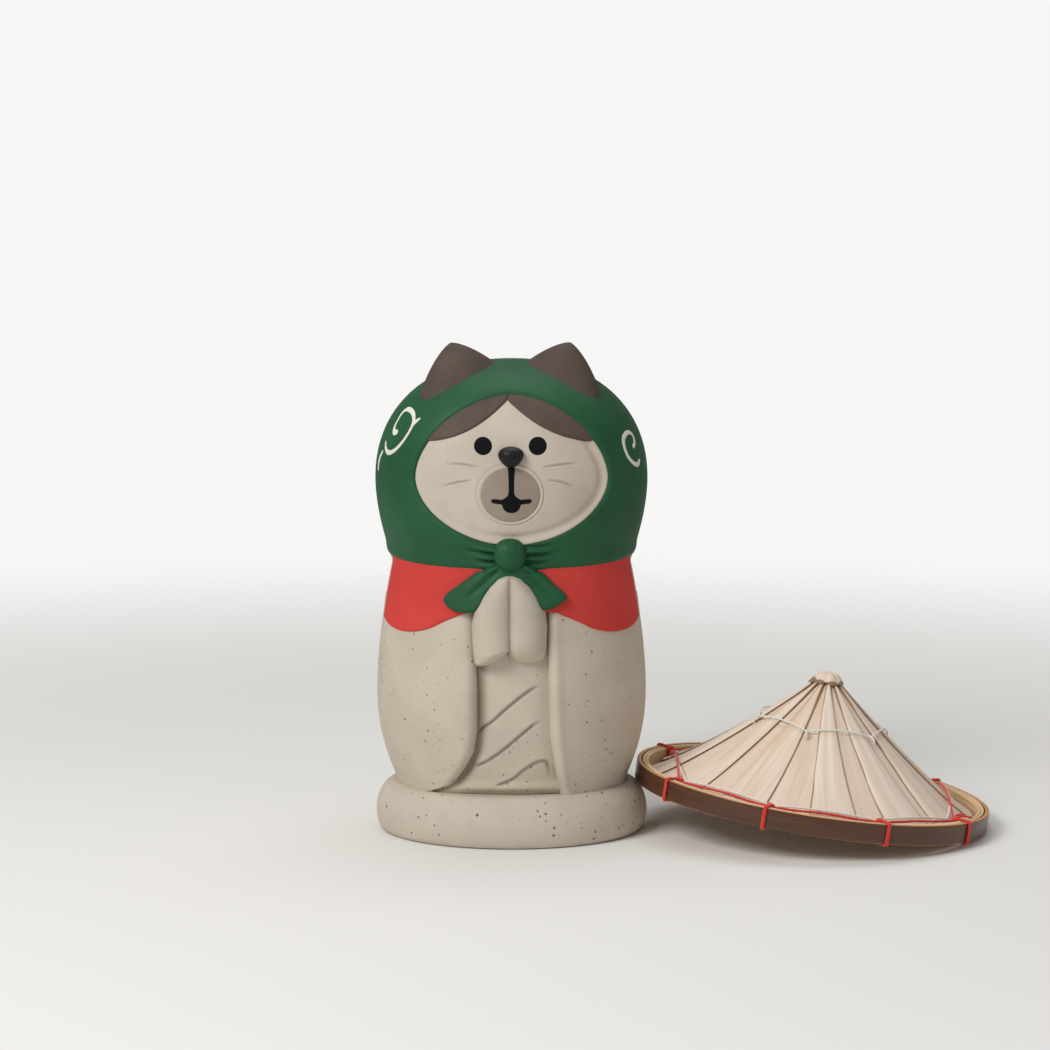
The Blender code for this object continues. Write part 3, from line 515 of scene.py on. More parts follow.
class Groups:
    """The shared node groups, built once."""

    def __init__(self) -> None:
        """Build each group."""
        self.pits = self.pits_group()
        self.mottle = self.mottle_group()
        self.fibres = self.fibres_group()

    @staticmethod
    def pits_group() -> bpy.types.NodeTree:
        """Sparse small pits: a mask that is 1 in a pit, with one pit or none in each cell."""
        takes = {"Cells per metre": 330.0, "Share": 0.3, "Smallest": 0.05, "Largest": 0.12}
        nodes = GroupNodes("pits", takes, "Mask")
        given = nodes.given
        wobble = nodes.add("TexNoise", Vector=given["Vector"], Scale=2600.0, Detail=1.0).outputs["Color"]
        offset = nodes.vector("SUBTRACT", s0=wobble, s1=(0.5, 0.5, 0.5))
        spot = nodes.vector("ADD", s0=given["Vector"], s1=nodes.vector("SCALE", s0=offset, Scale=0.0003))
        cells = nodes.add("TexVoronoi", Vector=spot, Scale=given["Cells per metre"]).outputs
        parts = nodes.add("SeparateColor", Color=cells["Color"]).outputs
        chosen = nodes.math("LESS_THAN", parts[0], given["Share"])
        spread = nodes.math("SUBTRACT", given["Largest"], given["Smallest"])
        size = nodes.math("MULTIPLY_ADD", nodes.math("POWER", parts[1], 2.2), spread, given["Smallest"])
        inside = nodes.ramp(nodes.math("DIVIDE", cells["Distance"], size), 0.55, 1.1, 1.0, 0.0)
        return nodes.give(Mask=nodes.math("MULTIPLY", inside, chosen))

    @staticmethod
    def mottle_group() -> bpy.types.NodeTree:
        """Unevenness: a broad tone and a fine grain, both about 0.5 on average."""
        nodes = GroupNodes("mottle", {"Broad": 90.0, "Fine": 1900.0}, "Tone", "Grain")
        given = nodes.given
        return nodes.give(Tone=nodes.noise(given["Vector"], given["Broad"], 3.0),
                          Grain=nodes.noise(given["Vector"], given["Fine"], 4.0, 0.65))

    @staticmethod
    def fibres_group() -> bpy.types.NodeTree:
        """Fibres along a strip, from its own map: fine streaks and broad bands, both from 0 to 1."""
        nodes = GroupNodes("fibres", {"Along": 3.0, "Across": 60.0}, "Streaks", "Bands")
        given = nodes.given
        scale = nodes.add("CombineXYZ", X=given["Along"], Y=given["Across"], Z=1.0).outputs[0]
        spot = nodes.vector("MULTIPLY", s0=given["Vector"], s1=scale)
        return nodes.give(Streaks=nodes.noise(spot, 1.0, 5.0, 0.6),
                          Bands=nodes.noise(nodes.vector("SCALE", s0=spot, Scale=0.16), 1.0, 2.0))


@dataclass(frozen=True)
class Finish:
    """What every finish has: its slot in the record and its colour."""

    slot: str
    colour: Triple

    def tint(self, factor: float, more: float = 0.0, colour: Triple | None = None) -> tuple[float, ...]:
        """The finish's colour, or another one, made darker or lighter."""
        return srgb(*[min(value * factor + more, 255) for value in colour or self.colour])

    def make(self, groups: Groups) -> bpy.types.Material:
        """Build the material."""
        material = bpy.data.materials.new(f"{self.slot}_finish")
        material.use_nodes = True
        self.wire(Nodes(material.node_tree), groups)
        return material

    def wire(self, nodes: Nodes, groups: Groups) -> None:
        """Build the material's nodes."""
        raise NotImplementedError


@dataclass(frozen=True)
class CastStone(Finish):
    """Bare cast resin that looks like pitted stone."""

    cells: float = 820.0
    pit_share: float = 0.4
    pit_largest: float = 0.28
    pit_colour: Triple = (96, 80, 66)
    # The colour of the painted shade in carving, creases and seams.
    painted_shade_colour: Triple = (118, 98, 80)
    tone_spread: float = 0.022

    def wire(self, nodes: Nodes, groups: Groups) -> None:
        """Build a mottled ground with painted shade in the carving and seams, specks and pits."""
        place = nodes.add("TexCoord").outputs["Object"]
        mottle = nodes.use(groups.mottle, Vector=place)
        patches = nodes.ramp(nodes.noise(place, 75.0, 1.0), 0.3, 0.68, 0.15, 1.7)
        share = nodes.math("MULTIPLY", patches, self.pit_share)
        pits = nodes.use(groups.pits, Vector=place, Cells_per_metre=self.cells, Share=share, Smallest=0.07,
                         Largest=self.pit_largest)["Mask"]
        specks = nodes.use(groups.pits, Vector=place, Cells_per_metre=1400.0, Share=0.42, Smallest=0.08,
                           Largest=0.2)["Mask"]
        colour = nodes.blend(nodes.ramp(mottle["Tone"], 0.3, 0.7), self.tint(1 - self.tone_spread),
                             self.tint(1 + self.tone_spread))
        # Laid over the colour in turn: grain, painted shade in the carving, specks and pits.
        for mask, weight, over in ((nodes.ramp(mottle["Grain"], 0.3, 0.75), 0.1, self.tint(0.78)),
                                   (nodes.layer("painted_shade"), 0.8, srgb(*self.painted_shade_colour)),
                                   (specks, 0.42, srgb(*self.pit_colour)),
                                   (pits, 0.9, srgb(*self.pit_colour))):
            colour = nodes.blend(nodes.math("MULTIPLY", mask, weight), colour, over)
        depth = nodes.math("MULTIPLY_ADD", mottle["Grain"], 0.12, nodes.math("MULTIPLY", pits, -1.0))
        nodes.surface(colour, depth, 0.5, 0.22 * MM, Roughness=0.86, Specular_IOR_Level=0.3)


@dataclass(frozen=True)
class Paint(Finish):
    """Hand paint on the cast body, a little uneven, with the casting's grain under it."""

    roughness: float = 0.55
    spread: float = 0.07
    specular: float = 0.25
    grain: float = 0.35

    def wire(self, nodes: Nodes, groups: Groups) -> None:
        """Build an uneven coat, darkened by painted shade where a piece stores it."""
        place = nodes.add("TexCoord").outputs["Object"]
        mottle = nodes.use(groups.mottle, Vector=place, Broad=70.0, Fine=1500.0)
        colour = nodes.blend(nodes.ramp(mottle["Tone"], 0.3, 0.7), self.tint(1 - self.spread),
                             self.tint(1 + self.spread, 3))
        # Painted shade from the piece's painted_shade layer darkens the coat.
        colour = nodes.blend(nodes.math("MULTIPLY", nodes.layer("painted_shade"), 0.5), colour, self.tint(0.55))
        rough = nodes.ramp(mottle["Grain"], 0.25, 0.75, self.roughness - 0.06, self.roughness + 0.06)
        nodes.surface(colour, nodes.math("MULTIPLY", mottle["Grain"], self.grain), 0.35, 0.15 * MM,
                      Roughness=rough, Specular_IOR_Level=self.specular)


@dataclass(frozen=True)
class Bamboo(Finish):
    """Split bamboo: fibres that run round the hoop, a stained or plain skin and a paler cut edge."""

    cut_colour: Triple = (214, 170, 112)
    roughness: float = 0.4
    coat: float = 0.0

    def wire(self, nodes: Nodes, groups: Groups) -> None:
        """Build streaked skin with paler cut edges."""
        fibres = nodes.use(groups.fibres, Vector=nodes.layer("fibre", "Vector"), Along=40.0, Across=2600.0)
        streaks = fibres["Streaks"]
        colour = nodes.blend(nodes.ramp(streaks, 0.3, 0.7), self.tint(0.74), self.tint(1.14))
        colour = nodes.blend(nodes.ramp(fibres["Bands"], 0.4, 0.7, 0.0, 0.45), colour, self.tint(0.8))
        cut = nodes.layer("cut")
        edge = nodes.blend(nodes.ramp(streaks, 0.25, 0.75), self.tint(0.84, 0, self.cut_colour),
                           self.tint(1.1, 0, self.cut_colour))
        rough = nodes.ramp(streaks, 0.25, 0.75, self.roughness - 0.07, self.roughness + 0.1)
        nodes.surface(nodes.blend(nodes.ramp(cut, 0.35, 0.65), colour, edge), streaks, 0.3, 0.12 * MM,
                      Roughness=nodes.math("MAXIMUM", rough, nodes.math("MULTIPLY", cut, 0.6)),
                      Coat_Weight=self.coat, Coat_Roughness=0.25)


@dataclass(frozen=True)
class DriedLeaf(Finish):
    """A dried leaf: pale, with fine veins along it, soft stains and a brown line at its edges."""

    warm_colour: Triple = (225, 203, 181)
    vein_colour: Triple = (190, 164, 132)
    stain_colour: Triple = (211, 181, 150)
    edge_colour: Triple = (128, 88, 50)

    def wire(self, nodes: Nodes, groups: Groups) -> None:
        """Build each leaf's own tone, veins, stains and a dark brown line along its edges."""
        spot = nodes.layer("fibre", "Vector")
        veins = nodes.use(groups.fibres, Vector=spot, Along=36.0, Across=1700.0)["Streaks"]
        broad = nodes.use(groups.fibres, Vector=spot, Along=30.0, Across=190.0)["Streaks"]
        number = nodes.math("FLOOR", nodes.add("SeparateXYZ", Vector=spot).outputs[2])
        own = nodes.add("TexWhiteNoise", {"noise_dimensions": "1D"}, W=number).outputs[0]
        reach = nodes.ramp(broad, 0.3, 0.7, 0.1 * MM, 0.52 * MM)
        line = nodes.ramp(nodes.math("DIVIDE", nodes.layer("rim"), reach), 0.3, 1.2, 1.0, 0.0)
        colour = self.tint(1)
        for share, over in ((nodes.math("MULTIPLY", own, 0.8), self.warm_colour),
                            (nodes.ramp(veins, 0.4, 0.75, 0.0, 0.3), self.vein_colour),
                            (nodes.ramp(broad, 0.5, 0.72, 0.0, 0.55), self.stain_colour),
                            (nodes.math("MULTIPLY", line, 0.85), self.edge_colour)):
            colour = nodes.blend(share, colour, srgb(*over))
        nodes.surface(colour, veins, 0.35, 0.16 * MM, Roughness=nodes.ramp(veins, 0.2, 0.8, 0.5, 0.72),
                      Specular_IOR_Level=0.35)


@dataclass(frozen=True)
class Thread(Finish):
    """Twisted cotton thread with a dull, slightly fuzzy surface."""

    def wire(self, nodes: Nodes, groups: Groups) -> None:
        """Build a fuzzy grain with a soft sheen."""
        place = nodes.add("TexCoord").outputs["Object"]
        grain = nodes.use(groups.mottle, Vector=place, Broad=500.0, Fine=4200.0)["Grain"]
        colour = nodes.blend(nodes.ramp(grain, 0.3, 0.7), self.tint(0.84), self.tint(1.1))
        # Darker by painted shade where a piece stores it.
        colour = nodes.blend(nodes.math("MULTIPLY", nodes.layer("painted_shade"), 0.5), colour, self.tint(0.5))
        nodes.surface(colour, grain, 0.5, 0.1 * MM, Roughness=0.85, Sheen_Weight=0.25)


class Dressed:
    """A finish with its material, ready to be put on pieces of one body."""

    def __init__(self, body: str, finish: Finish, groups: Groups) -> None:
        """Make the finish's material."""
        self.body = body
        self.slot = finish.slot
        self.material = finish.make(groups)

    def on(self, piece: Piece, *nodes: str) -> None:
        """Dress a piece, fix it to its body and let it stand for its CAD nodes."""
        piece.data.materials.clear()
        piece.data.materials.append(self.material)
        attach(piece, self.body)
        if nodes:
            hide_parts(*nodes)
        LOG.info("%s: %d faces", piece.name, len(piece.data.polygons))


# The figurine's body


@dataclass(frozen=True)
class BodyForm:
    """The round form under every piece of the figurine: a robe, a neck and a head."""

    flatten: float
    plinth_top: float
    neck: float
    crown: float
    hem: float
    robe_half: float
    head_half: float
    robe_foot_half: float = 28.6 * MM
    robe_widest: float = 23.5 * MM
    neck_half: float = 30.0 * MM
    head_widest: float = 20.4 * MM
    dome_power: float = 2.2
    hem_tilt: float = math.radians(4.2)

    @classmethod
    def from_frame(cls) -> "BodyForm":
        """Read the body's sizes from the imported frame."""
        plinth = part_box("plinth")[1]
        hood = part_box("hood")[1]
        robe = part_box("sleeve_right")[1]
        neck = plinth.z + 55.9 * MM
        return cls(plinth.y / plinth.x, plinth.z, neck, hood.z, neck + 1.8 * MM, robe.x, hood.x)

    @property
    def foot(self) -> float:
        """The height of the robe's lower end, a little way down in the plinth."""
        return self.plinth_top - 0.7 * MM

    def radius(self, height: Array) -> Array:
        """Half the body's width at each height."""
        up = height - self.plinth_top
        low = np.clip((self.robe_widest - up) / self.robe_widest, 0, 1.2)
        high = np.clip((up - self.robe_widest) / (self.neck - self.plinth_top - self.robe_widest), 0, 1)
        robe = (self.robe_half - (self.robe_half - self.robe_foot_half) * low**2.2
                - (self.robe_half - self.neck_half) * high**1.7)
        up = height - self.neck
        cheek = np.clip((self.head_widest - up) / self.head_widest, 0, 1)
        dome = np.clip((up - self.head_widest) / (self.crown - self.neck - self.head_widest), 0, 1)
        head = np.where(up > self.head_widest,
                        self.head_half * (1 - dome**self.dome_power) ** (1 / self.dome_power),
                        self.head_half - (self.head_half - self.neck_half) * cheek**1.75)
        return np.where(height > self.neck, head, robe)

    def point(self, angle: Array, height: Array, lift: Array | float = 0.0) -> Array:
        """A place on the body's skin.

        Args:
            angle: The turn from the front towards the viewer's right.
            height: The height above the ground.
            lift: How far out from the skin.

        Returns:
            One position for each angle and height.
        """
        angle, height = np.broadcast_arrays(np.asarray(angle, float), np.asarray(height, float))
        step = 0.05 * MM
        below = np.clip(height - step, 0, self.crown)
        above = np.clip(height + step, 0, self.crown - 1e-7)
        slope = (self.radius(above) - self.radius(below)) / (above - below)
        radius = np.maximum(self.radius(height), 1e-7)
        x = np.sin(angle) * radius
        y = -np.cos(angle) * radius * self.flatten
        normal = np.stack([x / radius, y / (self.flatten**2 * radius), -slope], axis=-1)
        normal /= np.linalg.norm(normal, axis=-1, keepdims=True)
        return np.stack([x, y, height], axis=-1) + normal * np.broadcast_to(lift, x.shape)[..., None]

    def front(self, across: Array, height: Array, lift: Array | float = 0.0) -> Array:
        """A place on the front skin, given as it is seen from the front."""
        share = np.clip(across / np.maximum(self.radius(height), 1e-7), -1, 1)
        return self.point(np.arcsin(share), height, lift)

    def angle(self, spots: Array) -> Array:
        """The turn of each place round the body."""
        return np.arctan2(spots[:, 0], -spots[:, 1] / self.flatten)

    def stands_out(self, spots: Array, lift: float) -> Array:
        """Whether each place is further out from the front skin than a lift."""
        return spots[:, 1] < self.front(spots[:, 0], spots[:, 2], lift)[:, 1]

    def push(self, piece: Piece, lift: Array) -> None:
        """Move a piece's vertices out from the front skin."""
        spots = corners(piece)
        outward = self.front(spots[:, 0], spots[:, 2], 1.0) - self.front(spots[:, 0], spots[:, 2])
        set_corners(piece, spots + outward * lift[:, None])

    def hem_shift(self, depth: Array) -> Array:
        """How far the hood's hem lies above its middle level at a depth front to back."""
        return math.tan(self.hem_tilt) * depth

    def heights(self, low: float, high: float, step: float) -> Array:
        """Heights from low to high, spread evenly along the skin about a step apart."""
        fine = low + (high - low) * np.sin(np.linspace(0, QUARTER, 4000))
        along = run_lengths(np.stack([self.radius(fine), fine], axis=-1))
        return np.interp(np.linspace(0, along[-1], max(int(along[-1] / step), 2) + 1), along, fine)

    def lens(self, name: str, outline: Array, middle: Array, lift: tuple[float, float], edge: float,
             rows: int, edge_rows: int) -> Piece:
        """A closed tile on the front with rounded edges, not yet shaded.

        Args:
            name: The piece's name.
            outline: Its outline's points, (across, height), evenly round its middle.
            middle: Its middle, (across, height).
            lift: The lifts of its underside and its face.
            edge: The radius of its edge.
            rows: How many steps its flat face has.
            edge_rows: How many steps its rounded edge has.

        Returns:
            The piece.
        """
        bottom, top = lift
        table = [(share, 0.0, bottom) for share in (0.0, 0.5, 1.0)]
        table += [(1.0, edge * inset, top + edge * drop) for inset, drop in quarter(edge_rows)]
        table += [(share, edge, top) for share in np.linspace(1, 0, rows + 1)[1:]]
        offset = outline - middle
        distance = np.linalg.norm(offset, axis=1)

        def place(turn: Array, row: Array) -> Array:
            """Set the corners out from the middle to the rim and back, along the skin."""
            index = nearest(turn, len(outline))
            share, inset, level = np.array(table)[row.astype(int)].T
            flat = middle + offset[index] * (share * (1 - inset / distance[index]))[:, None]
            return self.front(flat[:, 0], flat[:, 1], level)

        return ball(name, len(outline), len(table) - 1, place, None)


@dataclass(frozen=True)
class Opening:
    """The hood's opening for the face, an oval with its own roundness above and below its middle."""

    middle: float
    half: float = 24.0 * MM
    up: float = 20.3 * MM
    down: float = 16.2 * MM
    power_up: float = 1.75
    power_down: float = 1.9
    steps: int = 320

    def outline(self) -> Array:
        """Its points as (across, height) rows, the last one at the first one's place."""
        turn = np.linspace(0, math.tau, self.steps + 1)
        cosine, sine = np.cos(turn), np.sin(turn)
        reach = np.where(sine > 0, self.up, self.down)
        power = 2 / np.where(sine > 0, self.power_up, self.power_down)
        return np.stack([self.half * np.sign(cosine) * np.abs(cosine) ** power,
                         self.middle + reach * np.sign(sine) * np.abs(sine) ** power], axis=-1)


@dataclass
class Plinth:
    """The round plinth that the figurine stands on."""

    form: BodyForm
    foot_half: float = 32.6 * MM
    foot_inset: float = 0.8 * MM
    widest: float = 4.8 * MM
    top_half: float = 29.4 * MM
    top_sunk: float = 0.12 * MM
    top_insets: tuple[float, ...] = (1.0 * MM, 2.5 * MM, 4.5 * MM)
    around: int = 256

    def rings(self) -> list[tuple[float, float]]:
        """Its rings, as (radius, height), from its underside to its top."""
        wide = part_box("plinth")[1].x
        top = self.form.plinth_top
        return [(self.foot_half - self.foot_inset, 0.0),
                *((wide + (wide - self.foot_half) * drop, self.widest * inset)
                  for inset, drop in quarter(12)[1:]),
                *((wide - (wide - self.top_half) * inset, top + (top - self.widest) * drop)
                  for inset, drop in quarter(24)[1:]),
                *((self.top_half - inset, top - self.top_sunk) for inset in self.top_insets)]

    def build(self) -> Piece:
        """Build the plinth from a disc that is drawn up ring by ring."""
        rings = self.rings()
        activate()
        bpy.ops.mesh.primitive_circle_add(vertices=self.around, radius=rings[0][0], fill_type="NGON")
        piece = new_piece("plinth_stone")
        bpy.ops.object.mode_set(mode="EDIT")
        for (radius, height), (after, level) in zip(rings, rings[1:]):
            bpy.ops.mesh.extrude_region_move(TRANSFORM_OT_translate={"value": (0, 0, level - height)})
            bpy.ops.transform.resize(value=(after / radius, after / radius, 1))
        bpy.ops.mesh.select_all(action="SELECT")
        bpy.ops.transform.resize(value=(1, self.form.flatten, 1), center_override=(0, 0, 0))
        return smooth(piece)


@dataclass
class Hood:
    """The green head scarf: the head's skin with the opening for the face and creases at the knot."""

    form: BodyForm
    opening: Array
    around: int = 320
    step: float = 0.55 * MM
    edge: float = 0.9 * MM
    rim: float = 1.1 * MM
    seat: float = 2.3 * MM
    skin: float = -0.1 * MM
    hem_roll: float = 0.4 * MM
    hem_reach: float = 14.0 * MM
    crease_width: float = 0.62 * MM
    crease_depth: float = 0.75 * MM
    creases: tuple[Pairs, ...] = (
        ((-3.6, 74.6), (-7.5, 75.1), (-13.4, 76.9)),
        ((-3.6, 72.4), (-8.0, 72.9), (-14.4, 73.9)),
        ((-3.8, 70.6), (-6.6, 70.6), (-10.6, 71.0)),
        ((3.2, 74.2), (7.6, 74.4), (12.8, 75.4)),
        ((3.2, 72.4), (8.2, 72.4), (13.4, 73.1)),
        ((3.6, 70.5), (6.8, 70.3), (10.6, 70.7)),
    )

    def rows(self) -> Array:
        """The rows of the hood from its underside's middle to its crown, as (reach, height, lift)."""
        form = self.form
        rows = [(reach, form.hem, -self.edge) for reach in (0.0, 0.5, 0.9)]
        rows += [(1.0, form.hem + self.edge * inset, self.edge * drop) for inset, drop in quarter(6)]
        heights = form.heights(form.hem + self.edge, form.crown, self.step)
        return np.array(rows + [(1.0, height, self.skin) for height in heights[1:]])

    def relief(self, spots: Array) -> Array:
        """How far each place of the front stands off the plain skin."""
        flat = spots[:, [0, 2]]
        inside = path_distance(flat, self.opening)[1]
        seat = self.rim + np.minimum(inside * 3, self.seat - self.rim)
        lift = -np.where(inside < 0, round_over(-inside, self.rim), seat)
        for crease in self.creases:
            far, sided, share = path_distance(flat, smooth_path(crease, 5))
            fade = (1 - soft_step(0.25, 1.0, share)) * (1 - 0.25 * share)
            lift -= self.crease_depth * fade * hump(far, 0, self.crease_width * (1 - 0.35 * share))
            near = hump(share, 0.1, 0.75)
            lift += 0.4 * self.crease_depth * near * fade * hump(np.abs(sided), 1.0 * MM, 0.6 * MM)
        return np.where(spots[:, 1] < 0, lift, 0.0) + self.roll(spots) + self.skin

    def roll(self, spots: Array) -> Array:
        """How far the soft roll along the hem stands out at each place."""
        above = np.maximum(spots[:, 2] - self.form.hem - self.form.hem_shift(spots[:, 1]), 0)
        return self.hem_roll * hump(above, 1.3 * MM, 1.6 * MM)

    def build(self) -> Piece:
        """Build the hood."""
        form = self.form
        table = self.rows()

        def place(turn: Array, row: Array) -> Array:
            """Set the corners up the outside and down the inside of the scarf."""
            angle = turn + QUARTER
            reach, height, lift = table[row.astype(int)].T
            weight = 1 - soft_step(form.hem, form.hem + self.hem_reach, height)
            depth = -np.cos(angle) * form.flatten * form.neck_half * reach
            spots = form.point(angle, height + form.hem_shift(depth) * weight, lift)
            spots[:, :2] *= reach[:, None]
            return spots

        piece = ball("hood_scarf", self.around, len(table) - 1, place, None)
        for reach, knot_too in ((2.6 * MM, True), (1.3 * MM, False)):
            spots = corners(piece)
            near = np.abs(path_distance(spots[:, [0, 2]], self.opening)[1]) < reach
            knot = (np.abs(spots[:, 0]) < 14 * MM) & (spots[:, 2] < 77.5 * MM) & knot_too
            refine(piece, (near | knot) & (spots[:, 1] < 0))
        spots = corners(piece)
        skin = spots[:, 2] > form.hem + form.hem_shift(spots[:, 1]) + self.edge * 0.7
        lift = self.relief(spots)
        moved = form.point(form.angle(spots), spots[:, 2], lift)
        reach = np.hypot(spots[:, 0], spots[:, 1])
        spots[:, :2] *= (1 + self.roll(spots) / np.maximum(reach, 20 * MM))[:, None]
        set_corners(piece, np.where(skin[:, None], moved, spots))
        # Painted shade, darker where the skin sinks into the opening's seat and the creases.
        mark(piece, "painted_shade", np.clip(-lift / self.rim, 0, 1) * 0.35)
        return smooth(piece)


@dataclass
class Face:
    """The face in the hood's opening, with its hair, eyes, muzzle, mouth and nose."""

    form: BodyForm
    opening: Array
    middle: float
    sink: float = 1.0 * MM
    under: float = 0.3 * MM
    hair_lift: float = -0.55 * MM
    hair_columns: int = 64
    hair_edge: Triples = (
        (0, 0, -0.6), (0, 0, 0), (0, 0, 0.55), (0.09, 0, 0.75), (0.27, 0, 0.92), (0.585, 0, 1),
        (0.8296875, 0, 1),
    )
    parting: float = -0.9 * MM
    eye_half: float = 2.28 * MM
    eyes: Pairs = ((-6.95, 99.3), (6.65, 99.3))
    muzzle_half: tuple[float, float] = (7.65 * MM, 7.05 * MM)
    muzzle_middle: tuple[float, float] = (0.0, 87.15 * MM)
    ring_middle: tuple[float, float] = (-0.15 * MM, 87.35 * MM)
    ring_height: float = 0.13 * MM
    ring_groove: tuple[float, float] = (0.55 * MM, 0.22 * MM)
    mouth_middle: tuple[float, float] = (0.1 * MM, 85.5 * MM)
    mouth_half: Pairs = (
        (0.0, 8.9), (0.85, 8.85), (0.82, 7.6), (0.7, 5.0), (0.68, 2.6), (0.95, 1.55), (1.7, 0.85),
        (2.5, 0.5), (3.6, 0.45), (4.5, 0.72), (4.95, 0.55), (5.05, 0.1), (4.75, -0.32),
        (3.9, -0.5), (2.75, -0.62), (2.3, -0.9), (2.1, -1.6), (1.5, -2.35), (0.8, -2.72), (0.0, -2.8),
    )
    whiskers: tuple[Pairs, ...] = (
        ((-16.0, 94.5), (-12.0, 94.5), (-7.9, 93.9)),
        ((-16.7, 89.0), (-13.2, 90.0), (-9.5, 90.7)),
        ((7.7, 93.8), (12.0, 94.4), (16.1, 94.6)),
        ((8.9, 90.7), (12.2, 90.2), (15.4, 88.9)),
    )

    def off_muzzle(self, flat: Array, middle: tuple[float, float]) -> Array:
        """How far each place lies outside an oval of the muzzle's size round a middle."""
        reach = np.linalg.norm((flat - middle) / self.muzzle_half, axis=1)
        return (reach - 1) * sum(self.muzzle_half) / 2

    def whisker_runs(self, flat: Array) -> Iterator[tuple[Array, Array]]:
        """Each place's distance to each whisker, with the whisker's strength there."""
        for whisker in self.whiskers:
            far, _, share = path_distance(flat, smooth_path(whisker, 5))
            yield far, arc_depth(2 * np.minimum(share, 1 - share))

    def relief(self, spots: Array) -> Array:
        """How far each place of the face stands off its plain skin."""
        flat = spots[:, [0, 2]]
        ring = self.off_muzzle(flat, self.ring_middle)
        off = self.off_muzzle(flat, self.muzzle_middle)
        lift = self.ring_height * (hump(ring, 0.1 * MM, 0.26 * MM) - hump(ring, *self.ring_groove))
        lift -= 0.75 * MM * (1 - soft_step(-0.9 * MM, -0.1 * MM, off))
        for far, strength in self.whisker_runs(flat):
            lift -= 0.3 * MM * strength * hump(far, 0, 0.27 * MM)
            lift += 0.07 * MM * strength * hump(far, 0.62 * MM, 0.25 * MM)
        border = path_distance(flat, self.opening)[1]
        turn = np.arctan2(flat[:, 1] - self.middle, flat[:, 0])
        side = 0.15 + 0.85 * soft_step(-2.6, -1.3, turn) * (1 - soft_step(0.2, 0.8, turn))
        lift += 0.5 * MM * side * (1 - soft_step(0.3 * MM, 1.5 * MM, border))
        return lift - 0.42 * MM * side * hump(border, 2.0 * MM, 0.8 * MM)

    def shaded(self, flat: Array) -> Array:
        """How much painted shade lies in the carved lines at each place."""
        painted_shade = 0.3 * hump(self.off_muzzle(flat, self.ring_middle), *self.ring_groove)
        for far, strength in self.whisker_runs(flat):
            painted_shade += 0.75 * strength * hump(far, 0, 0.24 * MM)
        return np.clip(painted_shade, 0, 1)

    def build_face(self) -> Piece:
        """The face's plain, slightly domed skin with carved whiskers and a ring round the muzzle."""
        form, sink = self.form, self.sink
        rim = self.opening[:-1]
        outward = rim - (0.0, self.middle)
        rim = rim + outward / np.linalg.norm(outward, axis=1, keepdims=True) * self.under
        piece = form.lens("face_skin", rim, np.array([0.0, self.middle]), (-sink - 2 * MM, -sink), 0.5 * MM,
                          90, 4)
        spots = corners(piece)
        near = np.hypot(spots[:, 0], spots[:, 2] - self.muzzle_middle[1]) < 17.5 * MM
        near &= (spots[:, 2] < 95.6 * MM) & (path_distance(spots[:, [0, 2]], self.opening)[0] > 4.2 * MM)
        refine(piece, near & form.stands_out(spots, -sink - 0.2 * MM))
        spots = corners(piece)
        top = form.stands_out(spots, -sink - 1.2 * MM)
        form.push(piece, np.where(top, self.relief(spots), 0.0))
        # Painted shade in the ring round the muzzle and in the whiskers.
        mark(piece, "painted_shade", self.shaded(spots[:, [0, 2]]) * top)
        return smooth(piece)

    def build_disc(self, name: str, outline: Array, middle: Sequence[float], lift: float, edge: float,
                   dome: float) -> Piece:
        """A small painted or raised shape on the face.

        Args:
            name: The piece's name.
            outline: Its outline's points.
            middle: Its middle.
            lift: How far its face stands off the face's plain skin.
            edge: The radius of its edge.
            dome: How far its middle stands above its edge.

        Returns:
            The piece.
        """
        top = lift - self.sink
        piece = self.form.lens(name, outline, np.array(middle), (top - 0.9 * MM, top), edge, 12, 4)
        inside = path_distance(corners(piece)[:, [0, 2]], np.vstack([outline, outline[:1]]))[0]
        self.form.push(piece, dome * arc_depth(inside / inside.max()))
        return smooth(piece)

    def build_hair(self, side: Side) -> Piece:
        """One side's hair, from the parting to the temple, between the hood's rim and the hairline."""
        half = self.opening[:, 0].max()
        upper = self.opening[(self.opening[:, 1] > self.middle) & (self.opening[:, 0] * side.value >= 0)]
        rim_across, rim_height = np.abs(upper[np.argsort(np.abs(upper[:, 0]))]).T
        body = [(0.585, share, 1) for share in np.arange(2, 17) / 16]
        table = np.array([*self.hair_edge, *body, (0.585, 1, -0.6)])
        base = -self.sink - 0.5 * MM
        start = 0.05 * MM

        def place(turn: Array, row: Array) -> Array:
            """Set the corners across the lock, between the hairline and the scarf."""
            across = start + (half + 0.1 * MM) * (row / self.hair_columns) ** 1.5
            centred = np.clip(1 - across / half, 0, 1)
            hairline = self.middle + 8.9 * MM + 10.6 * MM * centred**2.3
            top = np.maximum(np.interp(across, rim_across, rim_height) + 0.5 * MM, hairline + 0.3 * MM)
            edge, share, level = table[nearest(turn, len(table))].T
            low = hairline + edge * MM
            lift = base + (self.hair_lift - base) * level
            parted = round_over(np.minimum(across, 3 * MM) - start, 0.3 * MM) * 0.8
            lift = np.where(level > 0, lift - parted, lift)
            across = across * side.value + self.parting * centred
            return self.form.front(across, low + (top - low) * share, lift)

        return bar(f"hair_lock_{side.word}", len(table), self.hair_columns, place)

    def build_nose(self) -> Piece:
        """The nose: a soft button, wide at its top and narrow at its bottom."""
        low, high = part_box("nose")
        middle = (low + high) / 2
        wide, _, tall = (high - low) / 2
        rows, back = 48, 3.0 * MM

        def place(turn: Array, row: Array) -> Array:
            """Set the corners on a soft block that is wider at its top."""
            x, y, z = soft_block(turn, row / rows, 2.15).T
            taper = 0.89 * (1 + 0.3 * z - 0.16 * z**2)
            y = low.y + back + y * back * (1 + 0.15 * z)
            return np.stack([x * wide * taper, y, middle.z + z * tall], axis=-1)

        return ball("nose_button", 64, rows, place)

